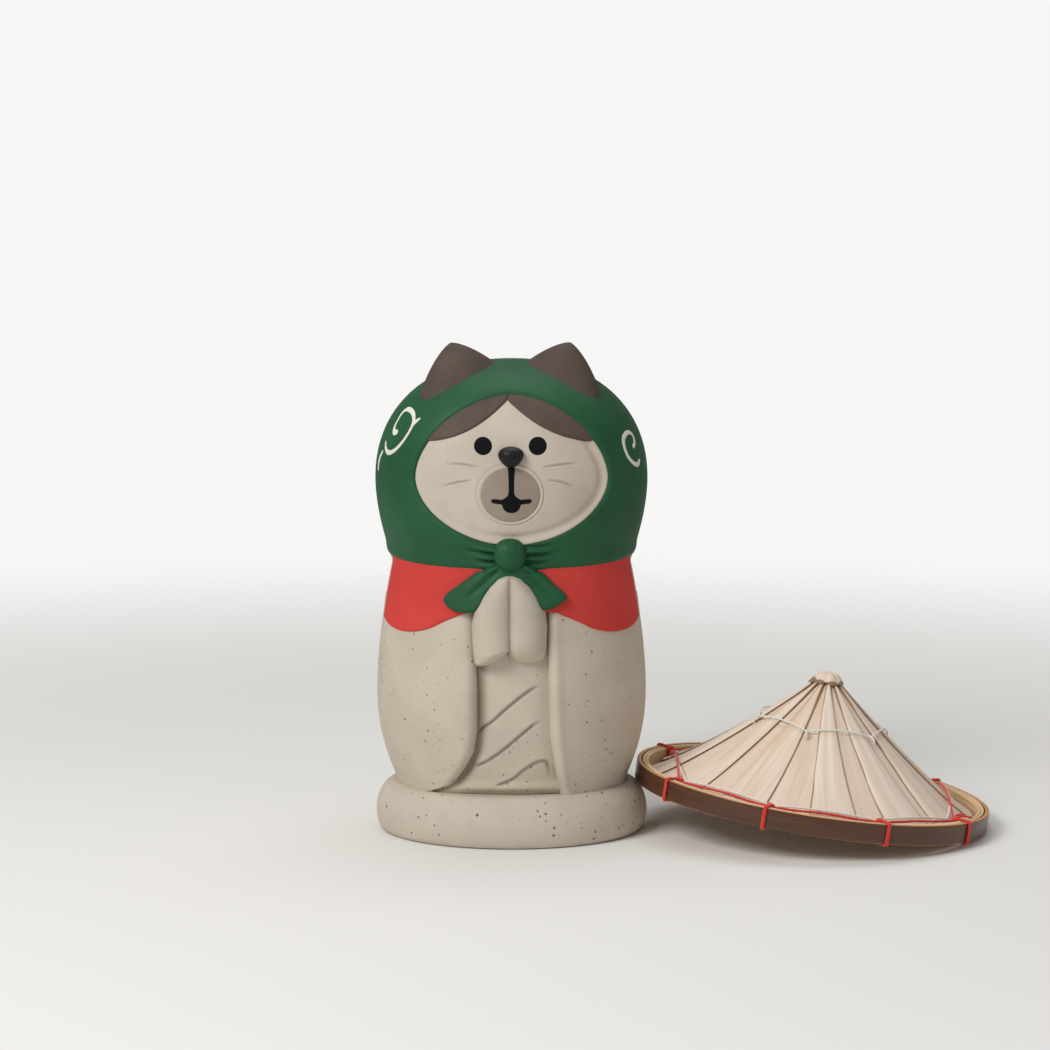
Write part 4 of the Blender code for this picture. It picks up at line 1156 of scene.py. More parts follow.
    def build(self, cream: Dressed, brown: Dressed, ink: Dressed, gloss: Dressed, taupe: Dressed) -> None:
        """Build the face and everything on it.

        Args:
            cream: The face's finish.
            brown: The hair's finish.
            ink: The finish of the eyes and the mouth.
            gloss: The nose's finish.
            taupe: The muzzle's finish.
        """
        cream.on(self.build_face(), "face")
        muzzle = self.muzzle_middle + circle(128) * self.muzzle_half
        taupe.on(self.build_disc("muzzle_disc", muzzle, self.muzzle_middle, -0.18 * MM, 0.45 * MM, 0.0),
                 "muzzle")
        for side in Side:
            brown.on(self.build_hair(side), f"hair_{side.word}")
        for side, eye in zip(Side, self.eyes):
            spot = np.array(eye) * MM
            outline = spot + self.eye_half * circle(64)
            ink.on(self.build_disc(f"eye_dot_{side.word}", outline, spot, 0.02 * MM, 0.12 * MM, 0.1 * MM),
                   f"eye_{side.word}")
        right = smooth_path(self.mouth_half, 6)
        rim = np.vstack([right, right[::-1] * (-1, 1)])
        mouth = even_outline(rim, np.zeros(2), 720) + self.mouth_middle
        ink.on(self.build_disc("mouth_line", mouth, self.mouth_middle, -0.1 * MM, 0.12 * MM, 0.05 * MM),
               "mouth")
        gloss.on(self.build_nose(), "nose")


@dataclass
class Ear:
    """An ear: a broad soft cone that stands on the hood, its outer side turned a little to the front."""

    side: Side
    tip: Triple
    half: float = 15.0 * MM
    tall: float = 18.5 * MM
    flatten: float = 0.62
    power: float = 1.38
    tilt: float = math.radians(16.0)
    turned: float = math.radians(20.0)
    rows: int = 64

    def build(self) -> Piece:
        """Build the ear."""
        side = self.side.value
        turned = np.array(Matrix.Rotation(side * self.tilt, 3, "Y")
                          @ Matrix.Rotation(-side * self.turned, 3, "Z"))

        def place(turn: Array, row: Array) -> Array:
            """Set the corners of the ear's sections from its root to its tip."""
            share = np.sin(QUARTER * np.clip((row - 2) / (self.rows - 2), 0, 1))
            reach = self.half * (1 - share**self.power) ** (1 / self.power)
            reach = np.select([row == 0, row == 1], [0.0, self.half * 0.6], reach)
            local = polar(reach, turn, (share - 1) * self.tall) * (1, self.flatten, 1)
            return local @ turned.T + np.array(self.tip) * MM

        return ball(f"ear_{self.side.word}_cone", 96, self.rows, place)


@dataclass
class SleevePattern:
    """Where a sleeve's edges run on the robe, and the groove and the shadow before its front edge."""

    form: BodyForm
    side: Side
    inner: Pairs
    roll: float
    ridge: float
    groove: float
    shadow: float
    top: float = 60.0 * MM
    back: float = 8.0 * MM
    back_middle: float = 40.25 * MM
    back_lean: float = math.radians(8.0)

    @classmethod
    def of(cls, form: BodyForm, side: Side) -> "SleevePattern":
        """One side's pattern."""
        if side is Side.LEFT:
            inner = ((19.5, 12.2), (15.2, 13.9), (12.4, 17.9), (9.9, 22.8), (9.0, 28.5), (9.0, 38.5),
                     (9.4, 49.4), (9.5, 62))
            return cls(form, side, inner, 2.6 * MM, 0.0, 1.2 * MM, 0.68)
        inner = ((12.6, 12.2), (12.3, 14.2), (11.5, 18.5), (10.3, 27.3), (9.9, 38.4), (9.5, 49.4),
                 (9.4, 62))
        return cls(form, side, inner, 1.7 * MM, 0.3 * MM, 0.15 * MM, 0.08)

    def front_angle(self, height: Array) -> Array:
        """The turn of the sleeve's front edge at each height."""
        across, level = np.array(self.inner).T * MM
        return np.arcsin(np.clip(np.interp(height, level, across) / self.form.radius(height), 0, 1))

    def back_angle(self, height: Array) -> Array:
        """The turn of the sleeve's back edge at each height."""
        depth = self.back - math.tan(self.back_lean) * (height - self.back_middle)
        return np.arccos(np.clip(-depth / (self.form.flatten * self.form.radius(height)), -1, 1))

    @staticmethod
    def backward(angle: Array) -> Array:
        """How much each turn belongs to the sleeve's back part."""
        return soft_step(1.1, 1.25, angle)


@dataclass
class Sleeve:
    """One hanging sleeve: a thick shell round the side of the robe with soft rolled edges."""

    pattern: SleevePattern
    thick: float = 3.3 * MM
    back_edge: float = 0.45 * MM
    proud: float = 0.14 * MM
    rows: int = 96

    def section(self) -> Array:
        """The rows of its section, as (inset, share of the way round, lift)."""
        roll, back = self.pattern.roll, self.back_edge
        return np.array([(0.0, 0.0, -self.thick),
                         *((roll * inset, 0.0, roll * drop) for inset, drop in quarter(8)),
                         *((0.0, share, 0.0) for share in np.linspace(0, 1, 74)[1:-1]),
                         *((-back * inset, 1.0, back * drop) for inset, drop in quarter(6)[::-1]),
                         (0.0, 1.0, -self.thick),
                         *((0.0, share, -self.thick) for share in np.linspace(1, 0, 20)[1:-1])])

    def build(self) -> Piece:
        """Build the sleeve."""
        pattern = self.pattern
        form = pattern.form
        levels = np.linspace(0, 1, self.rows + 1)
        levels = form.foot + (pattern.top - form.foot) * (
            levels - np.sin(levels * math.tau) / math.tau * 0.75)
        table = self.section()

        def place(turn: Array, row: Array) -> Array:
            """Set the corners of the sleeve's section at each level."""
            height = levels[row.astype(int)]
            inset, share, lift = table[nearest(turn, len(table))].T
            radius = form.radius(height)
            top = lift > -self.thick + 1e-9
            within = top & (share > 0) & (share < 1)
            start = pattern.front_angle(height) + np.where(within, pattern.roll / radius, 0)
            end = pattern.back_angle(height) - np.where(within, self.back_edge / radius, 0)
            angle = start + (end - start) * share + inset / radius
            travel = (angle - pattern.front_angle(height)) * radius
            ridge = pattern.ridge * hump(travel, pattern.roll * 1.05, 1.1 * MM)
            flare = np.exp(-np.maximum(height - form.plinth_top, 0) / (1.0 * MM))
            low = round_over(height - form.foot, 0.3 * MM) - 0.55 * MM * flare
            high = round_over(pattern.top - height, 0.25 * MM)
            edge = np.minimum((pattern.back_angle(height) - angle) * radius, pattern.top - height)
            raised = self.proud * falloff(edge, 3.0 * MM) * pattern.backward(angle)
            return form.point(angle * pattern.side.value, height,
                              np.where(top, lift + ridge + raised - low - high, lift))

        return bar(f"sleeve_{pattern.side.word}_shell", len(table), self.rows, place)


@dataclass
class Robe:
    """The robe: the body under the sleeves, the bib and the hood, with folds down its front."""

    form: BodyForm
    patterns: tuple[SleevePattern, ...]
    around: int = 320
    step: float = 0.5 * MM
    sunk: float = 2.6 * MM
    pocket: float = 3.6 * MM
    under_bib: float = 1.4 * MM
    bib_side: float = math.radians(75)
    fold_step: float = 0.95 * MM
    folds: tuple[Pairs, ...] = (
        ((-9.6, 27.6), (-7.6, 29.2), (-4.5, 31.6), (-1.2, 34.6), (3.4, 38.2), (6.2, 39.8), (8.4, 40.2)),
        ((-10.4, 18.2), (-8.4, 19.4), (-5.2, 21.3), (-1.6, 24.1), (3.9, 28.8), (6.4, 30.6), (8.9, 31.2)),
        ((-4.6, 13.8), (-3.0, 14.2), (0.4, 15.7), (3.4, 18.2), (6.8, 20.3), (9.0, 20.4), (10.0, 18.6),
         (10.7, 15.2)),
    )

    def seat(self, pattern: SleevePattern, turn: Array, height: Array) -> tuple[Array, Array]:
        """The lift and the painted shadow of each place on one sleeve's side of the robe.

        Args:
            pattern: The sleeve's pattern.
            turn: How far round from the front the places lie.
            height: Their heights.

        Returns:
            Their lifts and how much painted shadow lies there.
        """
        radius = self.form.radius(height)
        before_back = (pattern.back_angle(height) - turn) * radius
        front = (turn - pattern.front_angle(height)) * radius
        below_top = height - pattern.top
        covered = soft_step(1.2 * MM, 2.6 * MM, before_back)
        covered *= 1 - soft_step(-0.6 * MM, 0.4 * MM, below_top + 1.6 * MM * pattern.backward(turn))
        depth = self.sunk + (self.pocket - self.sunk) * soft_step(1.0 * MM, 2.4 * MM, front)
        shown = (1 - soft_step(-0.6 * MM, 0.4 * MM, below_top)) * soft_step(2.0 * MM, 5.0 * MM, before_back)
        above_foot = soft_step(0.5 * MM, 5.0 * MM, height - self.form.plinth_top)
        groove = falloff(-front - 0.5 * MM, 1.7 * MM) * shown * above_foot
        # Painted shadow on the robe just before each sleeve's front edge, strong on the left.
        line = falloff(-front - 1.4 * MM, 1.4 * MM) * shown
        return -depth * covered - pattern.groove * groove, line * pattern.shadow

    def relief(self, spots: Array) -> tuple[Array, Array]:
        """The lift of each place on the robe, and how much painted shade lies there: in the creases, before
        the sleeves and at the foot.
        """
        across, depth, height = spots.T
        angle = self.form.angle(spots)
        lift, painted_shade = np.zeros(len(spots)), np.zeros(len(spots))
        for pattern in self.patterns:
            here = np.sign(angle) == pattern.side.value
            seat_lift, seat_painted_shade = self.seat(pattern, np.abs(angle), height)
            lift, painted_shade = np.where(here, seat_lift, lift), np.where(here, seat_painted_shade, painted_shade)
        panel = (height < 62 * MM) & (depth < 0)
        for fold in self.folds:
            far, sided, share = path_distance(spots[:, [0, 2]], smooth_path(fold, 5))
            fade = panel * soft_step(0, 0.1, share) * (1 - soft_step(0.8, 1.0, share))
            above = np.exp(-np.maximum(sided, 0) / (2.8 * MM)) * soft_step(0, 0.4 * MM, sided)
            below = hump(sided, -0.1 * MM, 0.42 * MM)
            lift += fade * self.fold_step * (0.5 * above - 0.5 * below)
            # Painted shade along each fold's crease.
            painted_shade += fade * hump(far, 0.1 * MM, 0.36 * MM) * 0.42
        chest = 1 - soft_step(self.bib_side, self.bib_side + 0.03, np.abs(angle))
        covered = soft_step(57 * MM, 60.6 * MM, height) * chest
        lift = lift * (1 - covered) - self.under_bib * covered * soft_step(54 * MM, 58 * MM, height)
        foot = height - self.form.plinth_top
        lift += 0.7 * MM * hump(foot, 0.9 * MM, 1.3 * MM) * (
            1 - soft_step(18 * MM, 25 * MM, np.abs(across)))
        fill = hump(np.abs(across), 19 * MM, 7 * MM) * (depth < 0) * falloff(foot, 2.2 * MM)
        lift += np.maximum(-0.5 * MM - lift, 0) * fill
        # Painted shade where the robe meets the plinth.
        return lift, np.clip(painted_shade + 0.25 * hump(foot, 0, 0.6 * MM), 0, 1)

    def build(self) -> Piece:
        """Build the robe."""
        form = self.form
        foot, top = form.foot, form.hem + 2.5 * MM
        rows = [(reach, foot) for reach in (0.0, 0.5, 0.97)]
        rows += [(1.0, height)
                 for height in np.linspace(foot + 0.02 * MM, top, int((top - foot) / self.step))]
        table = np.array(rows + [(reach, top) for reach in (0.9, 0.5, 0.0)])

        def place(turn: Array, row: Array) -> Array:
            """Set the corners round the robe, with its carving, at each level."""
            reach, height = table[row.astype(int)].T
            spots = form.point(turn + QUARTER, height)
            spots[:, :2] *= reach[:, None]
            return spots

        piece = ball("robe_body", self.around, len(table) - 1, place, None)
        x, y, z = corners(piece).T
        front = (y < -form.robe_half * 0.5) & (np.abs(x) < 13.5 * MM) & (z < 50 * MM)
        refine(piece, front & (z > form.plinth_top))
        spots = corners(piece)
        reach = np.hypot(spots[:, 0], spots[:, 1] / form.flatten)
        radius = form.radius(spots[:, 2])
        skin = reach > radius * 0.985
        lift, painted_shade = self.relief(spots)
        moved = form.point(form.angle(spots), spots[:, 2], lift)
        spots[:, :2] *= np.where(reach > 0.5 * np.maximum(radius, 1e-6), 0.9, 1.0)[:, None]
        set_corners(piece, np.where(skin[:, None], moved, spots))
        mark(piece, "painted_shade", np.where(skin, painted_shade, 0))
        return smooth(piece)


@dataclass
class Bib:
    """The red bib: a thin shell over the chest with a scalloped lower edge."""

    form: BodyForm
    proud: float = 0.5 * MM
    deep: float = 0.8 * MM
    edge: float = 0.5 * MM
    side: float = math.radians(78)
    lobe: float = 25.6 * MM
    drop: float = 17.7 * MM
    shares: Pairs = (
        (0, 0.66), (0.36, 0.66), (0.6, 0.78), (0.8, 0.93), (1, 1), (1.17, 0.97), (1.27, 0.82), (1.33, 0.66),
    )
    columns: int = 220

    def build(self) -> Piece:
        """Build the bib."""
        form = self.form
        line = smooth_path(self.shares, 8, scale=1.0) * (self.lobe, -self.drop) + (0, form.hem)
        line = line[np.argsort(line[:, 0])]
        section = [(0.0, 0.0, -self.deep)]
        section += [(self.edge * inset, 0.0, self.proud + self.edge * drop) for inset, drop in quarter(6)]
        section += [(self.edge, share, self.proud) for share in np.linspace(0, 1, 36)[1:]]
        section += [(self.edge, share, -self.deep) for share in np.linspace(1, 0, 14)[:-1]]
        table = np.array(section)

        def place(turn: Array, row: Array) -> Array:
            """Set the corners of the bib's section at each turn."""
            angle = self.side * (2 * row / self.columns - 1)
            low = np.full(len(angle), form.hem - self.drop)
            for _ in range(6):
                low = np.interp(np.abs(np.sin(angle)) * form.radius(low), line[:, 0], line[:, 1])
            high = form.hem + form.hem_shift(-np.cos(angle) * form.flatten * form.neck_half) + 1.6 * MM
            inset, share, lift = table[nearest(turn, len(table))].T
            height = low + inset + (high - low - self.edge) * share
            ends = round_over((self.side - np.abs(angle)) * form.robe_half, self.edge)
            lift = np.where(lift > -self.deep, lift - ends, lift)
            level = np.minimum(height, form.neck - 0.1 * MM)
            spots = form.point(angle, level, lift)
            spots[:, 2] += height - level
            return spots

        return bar("bib_cloth", len(table), self.columns, place)


@dataclass
class Knot:
    """The knot under the chin and the scarf's two tails."""

    form: BodyForm
    block: Triple = (3.9 * MM, 3.7 * MM, 4.2 * MM)
    block_rows: int = 40
    thick: float = 1.9 * MM
    lift: float = 0.4 * MM
    left: Pairs = (
        (0.6, 70.2), (-4.0, 70.2), (-8.4, 67.7), (-11.8, 65.1), (-15.3, 62.2), (-15.8, 60.2), (-13.2, 58.3),
        (-9.8, 58.1), (-7.4, 59.4), (-5.2, 62.8), (-2.8, 65.8), (0.6, 66.6),
    )
    right: Pairs = (
        (-0.6, 70.2), (3.6, 70.3), (7.4, 67.9), (10.2, 65.0), (13.2, 61.8), (11.4, 60.0), (8.6, 58.8),
        (6.8, 59.4), (5.2, 62.8), (2.8, 65.8), (-0.6, 66.6),
    )

    def build_block(self) -> Piece:
        """The knot's soft block."""
        low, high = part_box("knot")
        middle = ((low.x + high.x) / 2 - 0.25 * MM, low.y + self.block[1], (low.z + high.z) / 2 + 0.1 * MM)

        def place(turn: Array, row: Array) -> Array:
            """Set the corners on a soft block at the knot."""
            x, y, z = soft_block(turn, row / self.block_rows, 2.4).T
            crease = 0.05 * hump(x, 0.45, 0.16) + 0.04 * hump(x, -0.5, 0.14)
            spots = np.stack([x * (1 + 0.06 * z), y * (1 - crease * (y < 0)), z], axis=-1)
            return spots * self.block + middle

        return ball("knot_block", 72, self.block_rows, place)

    def build_tail(self, side: Side) -> Piece:
        """One tail, a thick soft band that lies on the bib beside the paws."""
        outline = smooth_path(self.left if side is Side.LEFT else self.right, 12, closed=True)
        middle = outline.mean(axis=0)
        top = self.lift + self.thick
        piece = self.form.lens(f"tail_{side.word}_band", even_outline(outline, middle, 160), middle,
                               (0.1 * MM, top), 1.25 * MM, 20, 9)
        spots = corners(piece)
        run = np.array([(side.value * 3.0, 69.6), (side.value * 12.5, 60.8)]) * MM
        _, sided, share = path_distance(spots[:, [0, 2]], run)
        sided = sided * side.value
        fold = hump(sided, 0.9 * MM, 0.8 * MM) - hump(sided, -0.5 * MM, 0.6 * MM)
        fold *= 0.4 * MM * (1 - soft_step(0.45, 0.95, share))
        self.form.push(piece, np.where(self.form.stands_out(spots, top - 1.2 * MM), fold, 0))
        return smooth(piece)


@dataclass
class Paw:
    """One of the two paws that are held palm to palm, flat where it meets the other one."""

    side: Side
    taper: float
    corner: float
    slant: float
    rise: float
    rows: int = 96
    around: int = 96
    depth: float = 6.2 * MM
    fullness: float = 2.05
    shared: float = 1.9 * MM
    seam: float = -0.35 * MM
    edges: Pairs = (
        (43.4, 6.2), (44.2, 8.0), (45.5, 8.7), (49.3, 9.1), (54.9, 9.3), (59.1, 8.7), (61.9, 7.5),
        (64.7, 5.7), (66.6, 3.7), (67.6, 1.6),
    )

    @classmethod
    def of(cls, side: Side) -> "Paw":
        """One side's paw. The right one's lower end is flatter and higher."""
        ends = (4.5, 2.6, 4.6, 0.0) if side is Side.LEFT else (10.0, 3.6, 1.2, 1.4)
        return cls(side, *(value * MM for value in ends))

    def build(self) -> Piece:
        """Build the paw from a sphere whose rows follow its outer edge."""
        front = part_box(f"paw_{self.side.word}")[0].y
        heights, widths = np.array(self.edges).T * MM
        low, high = heights[0], heights[-1]

        def place(turn: Array, row: Array) -> Array:
            """Set the corners of the paw's section at each level."""
            up, ring = -np.cos(math.pi * row / self.rows), np.sin(math.pi * row / self.rows)
            height = low + (high - low) * (up + 1) / 2
            outer = np.interp(height, heights, widths)
            half = (outer + self.shared) / 2
            closed = arc_depth(ring / 0.42)
            close = np.where(up < 0, arc_depth((height - low) / self.corner), closed)
            deep = np.where(up < 0, arc_depth((height - low) / self.taper), closed)
            cosine, sine = np.cos(turn), np.sin(turn)
            size = (np.abs(cosine) ** self.fullness + np.abs(sine) ** self.fullness) ** (-1 / self.fullness)
            across = outer - half + half * close * size * cosine
            lean = soft_step(0.2, 1.0, up) * 1.2 * MM
            lower = 1 - soft_step(-1.0, -0.35, up)
            height = height + lower * (self.slant * (1 - np.clip(across / (8 * MM), 0, 1)) + self.rise)
            return np.stack([self.side.value * np.maximum(across, -0.05 * MM) + self.seam,
                             front + lean + self.depth * (1 + deep * size * sine), height], axis=-1)

        piece = ball(f"paw_{self.side.word}_hand", self.around, self.rows, place)
        x, _, z = corners(piece).T
        # Painted shade along the seam between the two paws, wider towards the lower end.
        low_end = np.clip((49 * MM - z) / (5 * MM), 0, 1)
        mark(piece, "painted_shade", 0.36 * hump(x, self.seam, (0.7 + 0.8 * low_end) * MM))
        return piece


@dataclass
class Swirls:
    """The white arabesque swirls painted on the scarf, each a slightly raised stroke."""

    form: BodyForm
    proud: float = 0.1 * MM
    sunk: float = -0.1 * MM
    broad: float = 1.2
    steps: int = 10
    left: Triples = (
        (-28.0, 101.4, 1.0), (-28.9, 101.2, 1.3), (-29.0, 102.3, 0.8), (-28.2, 104.0, 0.6),
        (-27.0, 105.9, 0.8), (-25.6, 106.9, 1.15), (-24.3, 106.2, 1.05), (-24.0, 104.4, 0.85),
        (-25.0, 101.9, 0.7), (-27.0, 98.9, 0.75), (-29.0, 96.8, 0.9), (-30.5, 96.2, 1.05),
        (-31.2, 97.2, 0.8), (-31.2, 98.8, 0.5),
    )
    barb: Triples = ((-24.4, 103.2, 0.9), (-23.5, 104.2, 0.9), (-22.3, 105.1, 0.5))
    side: Triples = ((-31.9, 96.4, 0.6), (-32.6, 95.0, 0.9), (-33.1, 93.2, 1.0), (-33.2, 91.2, 0.6))
    right: Triples = (
        (30.2, 97.4, 0.95), (30.6, 98.6, 0.85), (30.1, 100.4, 0.8), (28.9, 101.2, 0.95),
        (27.8, 100.1, 1.05), (27.9, 98.0, 0.95), (28.9, 95.4, 0.85), (30.4, 93.6, 0.9),
        (31.4, 93.2, 1.05), (31.9, 94.3, 0.8),
    )
    motif: Triples = (
        (0.9, 0.2, 1.0), (0.0, -0.4, 1.3), (-0.8, 0.5, 0.9), (-0.4, 2.2, 0.7), (1.4, 3.0, 0.9),
        (3.2, 2.0, 1.1), (3.7, -0.4, 0.95), (2.6, -3.0, 0.8), (0.0, -4.6, 0.8),
        (-3.4, -4.8, 0.9), (-6.2, -3.4, 0.75), (-8.0, -1.0, 0.45),
    )
    motif_barb: Triples = ((3.5, -1.2, 0.8), (4.9, -0.9, 0.75), (6.2, 0.2, 0.4))
    repeats: tuple[tuple[float, float, float, float], ...] = (
        (-98, 93, 62, 1), (-128, 107, 15, -1), (-140, 88, 140, 1), (-178, 99, -30, 1), (172, 82, 100, -1),
        (104, 88, 70, -1), (132, 104, -20, 1), (142, 86, 150, -1), (-112, 79, -15, 1), (116, 76, 20, 1),
    )

    def stroke(self, name: str, angle: Array, height: Array, width: Array) -> Piece:
        """One painted stroke.

        Args:
            name: The piece's name.
            angle: The turns of its middle line's points round the head.
            height: Their heights.
            width: The stroke's width at each.

        Returns:
            The piece.
        """
        middle = self.form.point(angle, height, self.sunk)
        normal = self.form.point(angle, height, self.sunk + 1.0) - middle
        tangent = np.gradient(middle, axis=0)
        aside = np.cross(normal, tangent / np.linalg.norm(tangent, axis=1, keepdims=True))
        along = run_lengths(middle)
        ends = arc_depth(2 * np.minimum(along, along[-1] - along) / width)
        half = self.broad * width / 2 * np.maximum(ends, 0.1)

        def place(turn: Array, row: Array) -> Array:
            """Set the corners of the stroke's domed section along its middle line."""
            index = row.astype(int)
            sine = np.sin(turn)
            out = aside[index] * (half[index] * np.cos(turn))[:, None]
            up = np.where(sine > 0, self.proud * np.abs(sine) ** 0.7, 0.08 * MM * sine)
            return middle[index] + out + normal[index] * up[:, None]

        return bar(name, 14, len(middle) - 1, place, 70)

    def front_stroke(self, name: str, points: Triples) -> Piece:
        """A stroke given by its (across, height, width) as it is seen from the front."""
        across, height, width = smooth_path(points, self.steps).T
        share = np.clip(across / self.form.radius(height), -0.999, 0.999)
        return self.stroke(name, np.arcsin(share), height, width)

    def placed_stroke(self, name: str, points: Triples, spot: tuple[float, float, float, float]) -> Piece:
        """A shared stroke, laid round the head at a turn, a height, its own turn and a hand."""
        at, height, own, hand = spot
        across, up, width = swing(smooth_path(points, self.steps), math.radians(own)).T
        level = height * MM + up * 0.95
        return self.stroke(name, math.radians(at) + across * hand / self.form.radius(level), level, width)

    def build(self, white: Dressed) -> None:
        """Build every stroke with the white paint's finish."""
        for name, points in (("left", self.left), ("left_barb", self.barb), ("left_side", self.side),
                             ("right", self.right)):
            white.on(self.front_stroke(f"swirl_{name}", points))
        for number, spot in enumerate(self.repeats, 1):
            white.on(self.placed_stroke(f"swirl_back_{number}", self.motif, spot))
            white.on(self.placed_stroke(f"swirl_back_barb_{number}", self.motif_barb, spot))


# The hat


@dataclass(frozen=True)
class HatForm:
    """The hat's own frame, its hoops' sizes and the cone that its leaves lie on."""

    across: float = 75.877 * MM
    up: float = 6.157 * MM
    tilt: float = math.radians(7.8635)
    outer: float = 45.0 * MM
    height: float = 4.9 * MM
    outer_wall: float = 1.1 * MM
    inner_wall: float = 1.5 * MM
    clear: float = 0.3 * MM
    cone_foot: float = 1.6 * MM
    cone_rise: float = 31.4 * MM
    cone_power: float = 1.18
    thread_raised: float = 1.1 * MM
    lashings: tuple[float, ...] = tuple(
        math.radians(turn) for turn in (36, 72, 110, 149, 211, 250, 288, 324))

    @property
    def inside(self) -> float:
        """The inner hoop's inner radius."""
        return self.outer - self.outer_wall - self.clear - self.inner_wall

    @property
    def cone_radius(self) -> float:
        """The radius at which the leaves end."""
        return self.inside - self.clear

    def cone(self, radius: Array) -> Array:
        """The height of the lower leaves' face at each radius."""
        share = np.clip(1 - radius / self.cone_radius, 0, 1)
        return self.cone_foot + self.cone_rise * share**self.cone_power

    def over(self, angle: Array, radius: Array | float, raised: Array | float) -> Array:
        """Places at a distance from the leaves' face, in the hat's own frame.

        Args:
            angle: The turns round the hat.
            radius: The radii on the cone.
            raised: The distances out from the cone.

        Returns:
            One position for each.
        """
        step = 0.2 * MM
        near = np.minimum(radius, self.cone_radius - step)
        rise = self.cone(near + step) - self.cone(near - step)
        length = np.hypot(rise, 2 * step)
        return polar(radius - rise / length * raised, angle, self.cone(radius) + 2 * step / length * raised)

    def at_rest(self, spots: Array) -> Array:
        """Positions in the hat's own frame, moved to where the hat rests."""
        x, y, z = spots.T
        return np.stack([self.across + x * math.cos(self.tilt) + z * math.sin(self.tilt), y,
                         self.up - x * math.sin(self.tilt) + z * math.cos(self.tilt)], axis=-1)

    def from_rest(self, spots: Array) -> Array:
        """Positions where the hat rests, moved back to the hat's own frame."""
        x, y, z = (spots - (self.across, 0, self.up)).T
        return np.stack([x * math.cos(self.tilt) - z * math.sin(self.tilt), y,
                         x * math.sin(self.tilt) + z * math.cos(self.tilt)], axis=-1)

    def geodesic(self, start: float, end: float, radius: float, share: Array) -> tuple[Array, Array]:
        """The line of a thread pulled straight over the cone between two places of one radius.

        Args:
            start: The first place's turn.
            end: The second place's turn.
            radius: Their radius.
            share: How far along the line its points lie.

        Returns:
            The turns and radii of the line's points.
        """
        squeeze = self.cone_radius / math.hypot(self.cone_radius, self.cone_rise)
        span = (end - start) * squeeze
        x = (1 - share) + share * math.cos(span)
        y = share * math.sin(span)
        return start + np.arctan2(y, x) / squeeze, radius * np.hypot(x, y)


@dataclass
class Hoops:
    """The dark outer hoop with its lapped joint, and the inner hoop of two pale strips."""

    form: HatForm
    around: int = 360
    lap: float = math.radians(11)
    corner: float = 0.22 * MM
    corner_steps: int = 4

    def build_outer(self) -> Piece:
        """The outer hoop, a strip whose two thinned ends lap over each other."""
        form, lap = self.form, self.lap
        inner = form.outer - form.outer_wall
        thinned = form.outer_wall / 2 + 0.02 * MM
        table = rounded_box(inner, form.outer, 0.0, form.height, self.corner, self.corner_steps)
        start = -lap * 0.75

        def place(turn: Array, row: Array) -> Array:
            """Set the corners of the strip's section, with a thinner lap at each end."""
            radius, height = table[nearest(turn, len(table))].T
            angle = start + (math.tau + lap) * row / self.around
            first = 1 - soft_step(start + lap * 0.6, start + lap, angle)
            last = soft_step(start + math.tau, start + math.tau + lap * 0.4, angle)
            low = inner + last * thinned
            high = form.outer - 0.01 * MM - first * thinned
            share = np.clip((radius - inner) / form.outer_wall, 0, 1)
            waves = 0.05 * MM * np.sin(angle * 3 + 1) * (height < self.corner * 3)
            height = np.clip(height + waves, 0, form.height)
            return form.at_rest(polar(low + (high - low) * share, angle, height))

        piece = bar("hoop_outer_strip", len(table), self.around, place, 40)
        self.note(piece, form.height)
        return piece

    def build_inner(self, name: str, inner: float, outer: float, top: float, phase: float) -> Piece:
        """One pale strip of the inner hoop.

        Args:
            name: The piece's name.
            inner: Its inner radius.
            outer: Its outer radius.
            top: Its top edge's height.
            phase: Where its slight waves start.

        Returns:
            The piece.
        """
        table = rounded_box(inner, outer, 0.1 * MM, top, self.corner, self.corner_steps)

        def place(turn: Array, section: Array) -> Array:
            """Set the corners of the strip's section at each turn."""
            radius, height = table[nearest(section, len(table))].T
            wave = np.sin(turn * 2 + phase) + 0.5 * np.sin(turn * 5 + 2 * phase)
            return self.form.at_rest(polar(radius, turn, height + 0.08 * MM * wave * (height > top / 2)))

        piece = hoop(name, self.around, len(table), place, 40)
        self.note(piece, top)
        return piece

    def note(self, piece: Piece, top: float) -> None:
        """Store the fibres' run and the pale cut edges for the material."""
        x, y, height = self.form.from_rest(corners(piece)).T
        radius = np.hypot(x, y)
        mark(piece, "fibre", np.abs(np.arctan2(y, x)) * self.form.outer, height + radius * 0.7, radius)
        upper = soft_step(top - 0.16 * MM, top - 0.04 * MM, height)
        mark(piece, "cut", np.clip(upper + 1 - soft_step(0.04 * MM, 0.16 * MM, height), 0, 1))


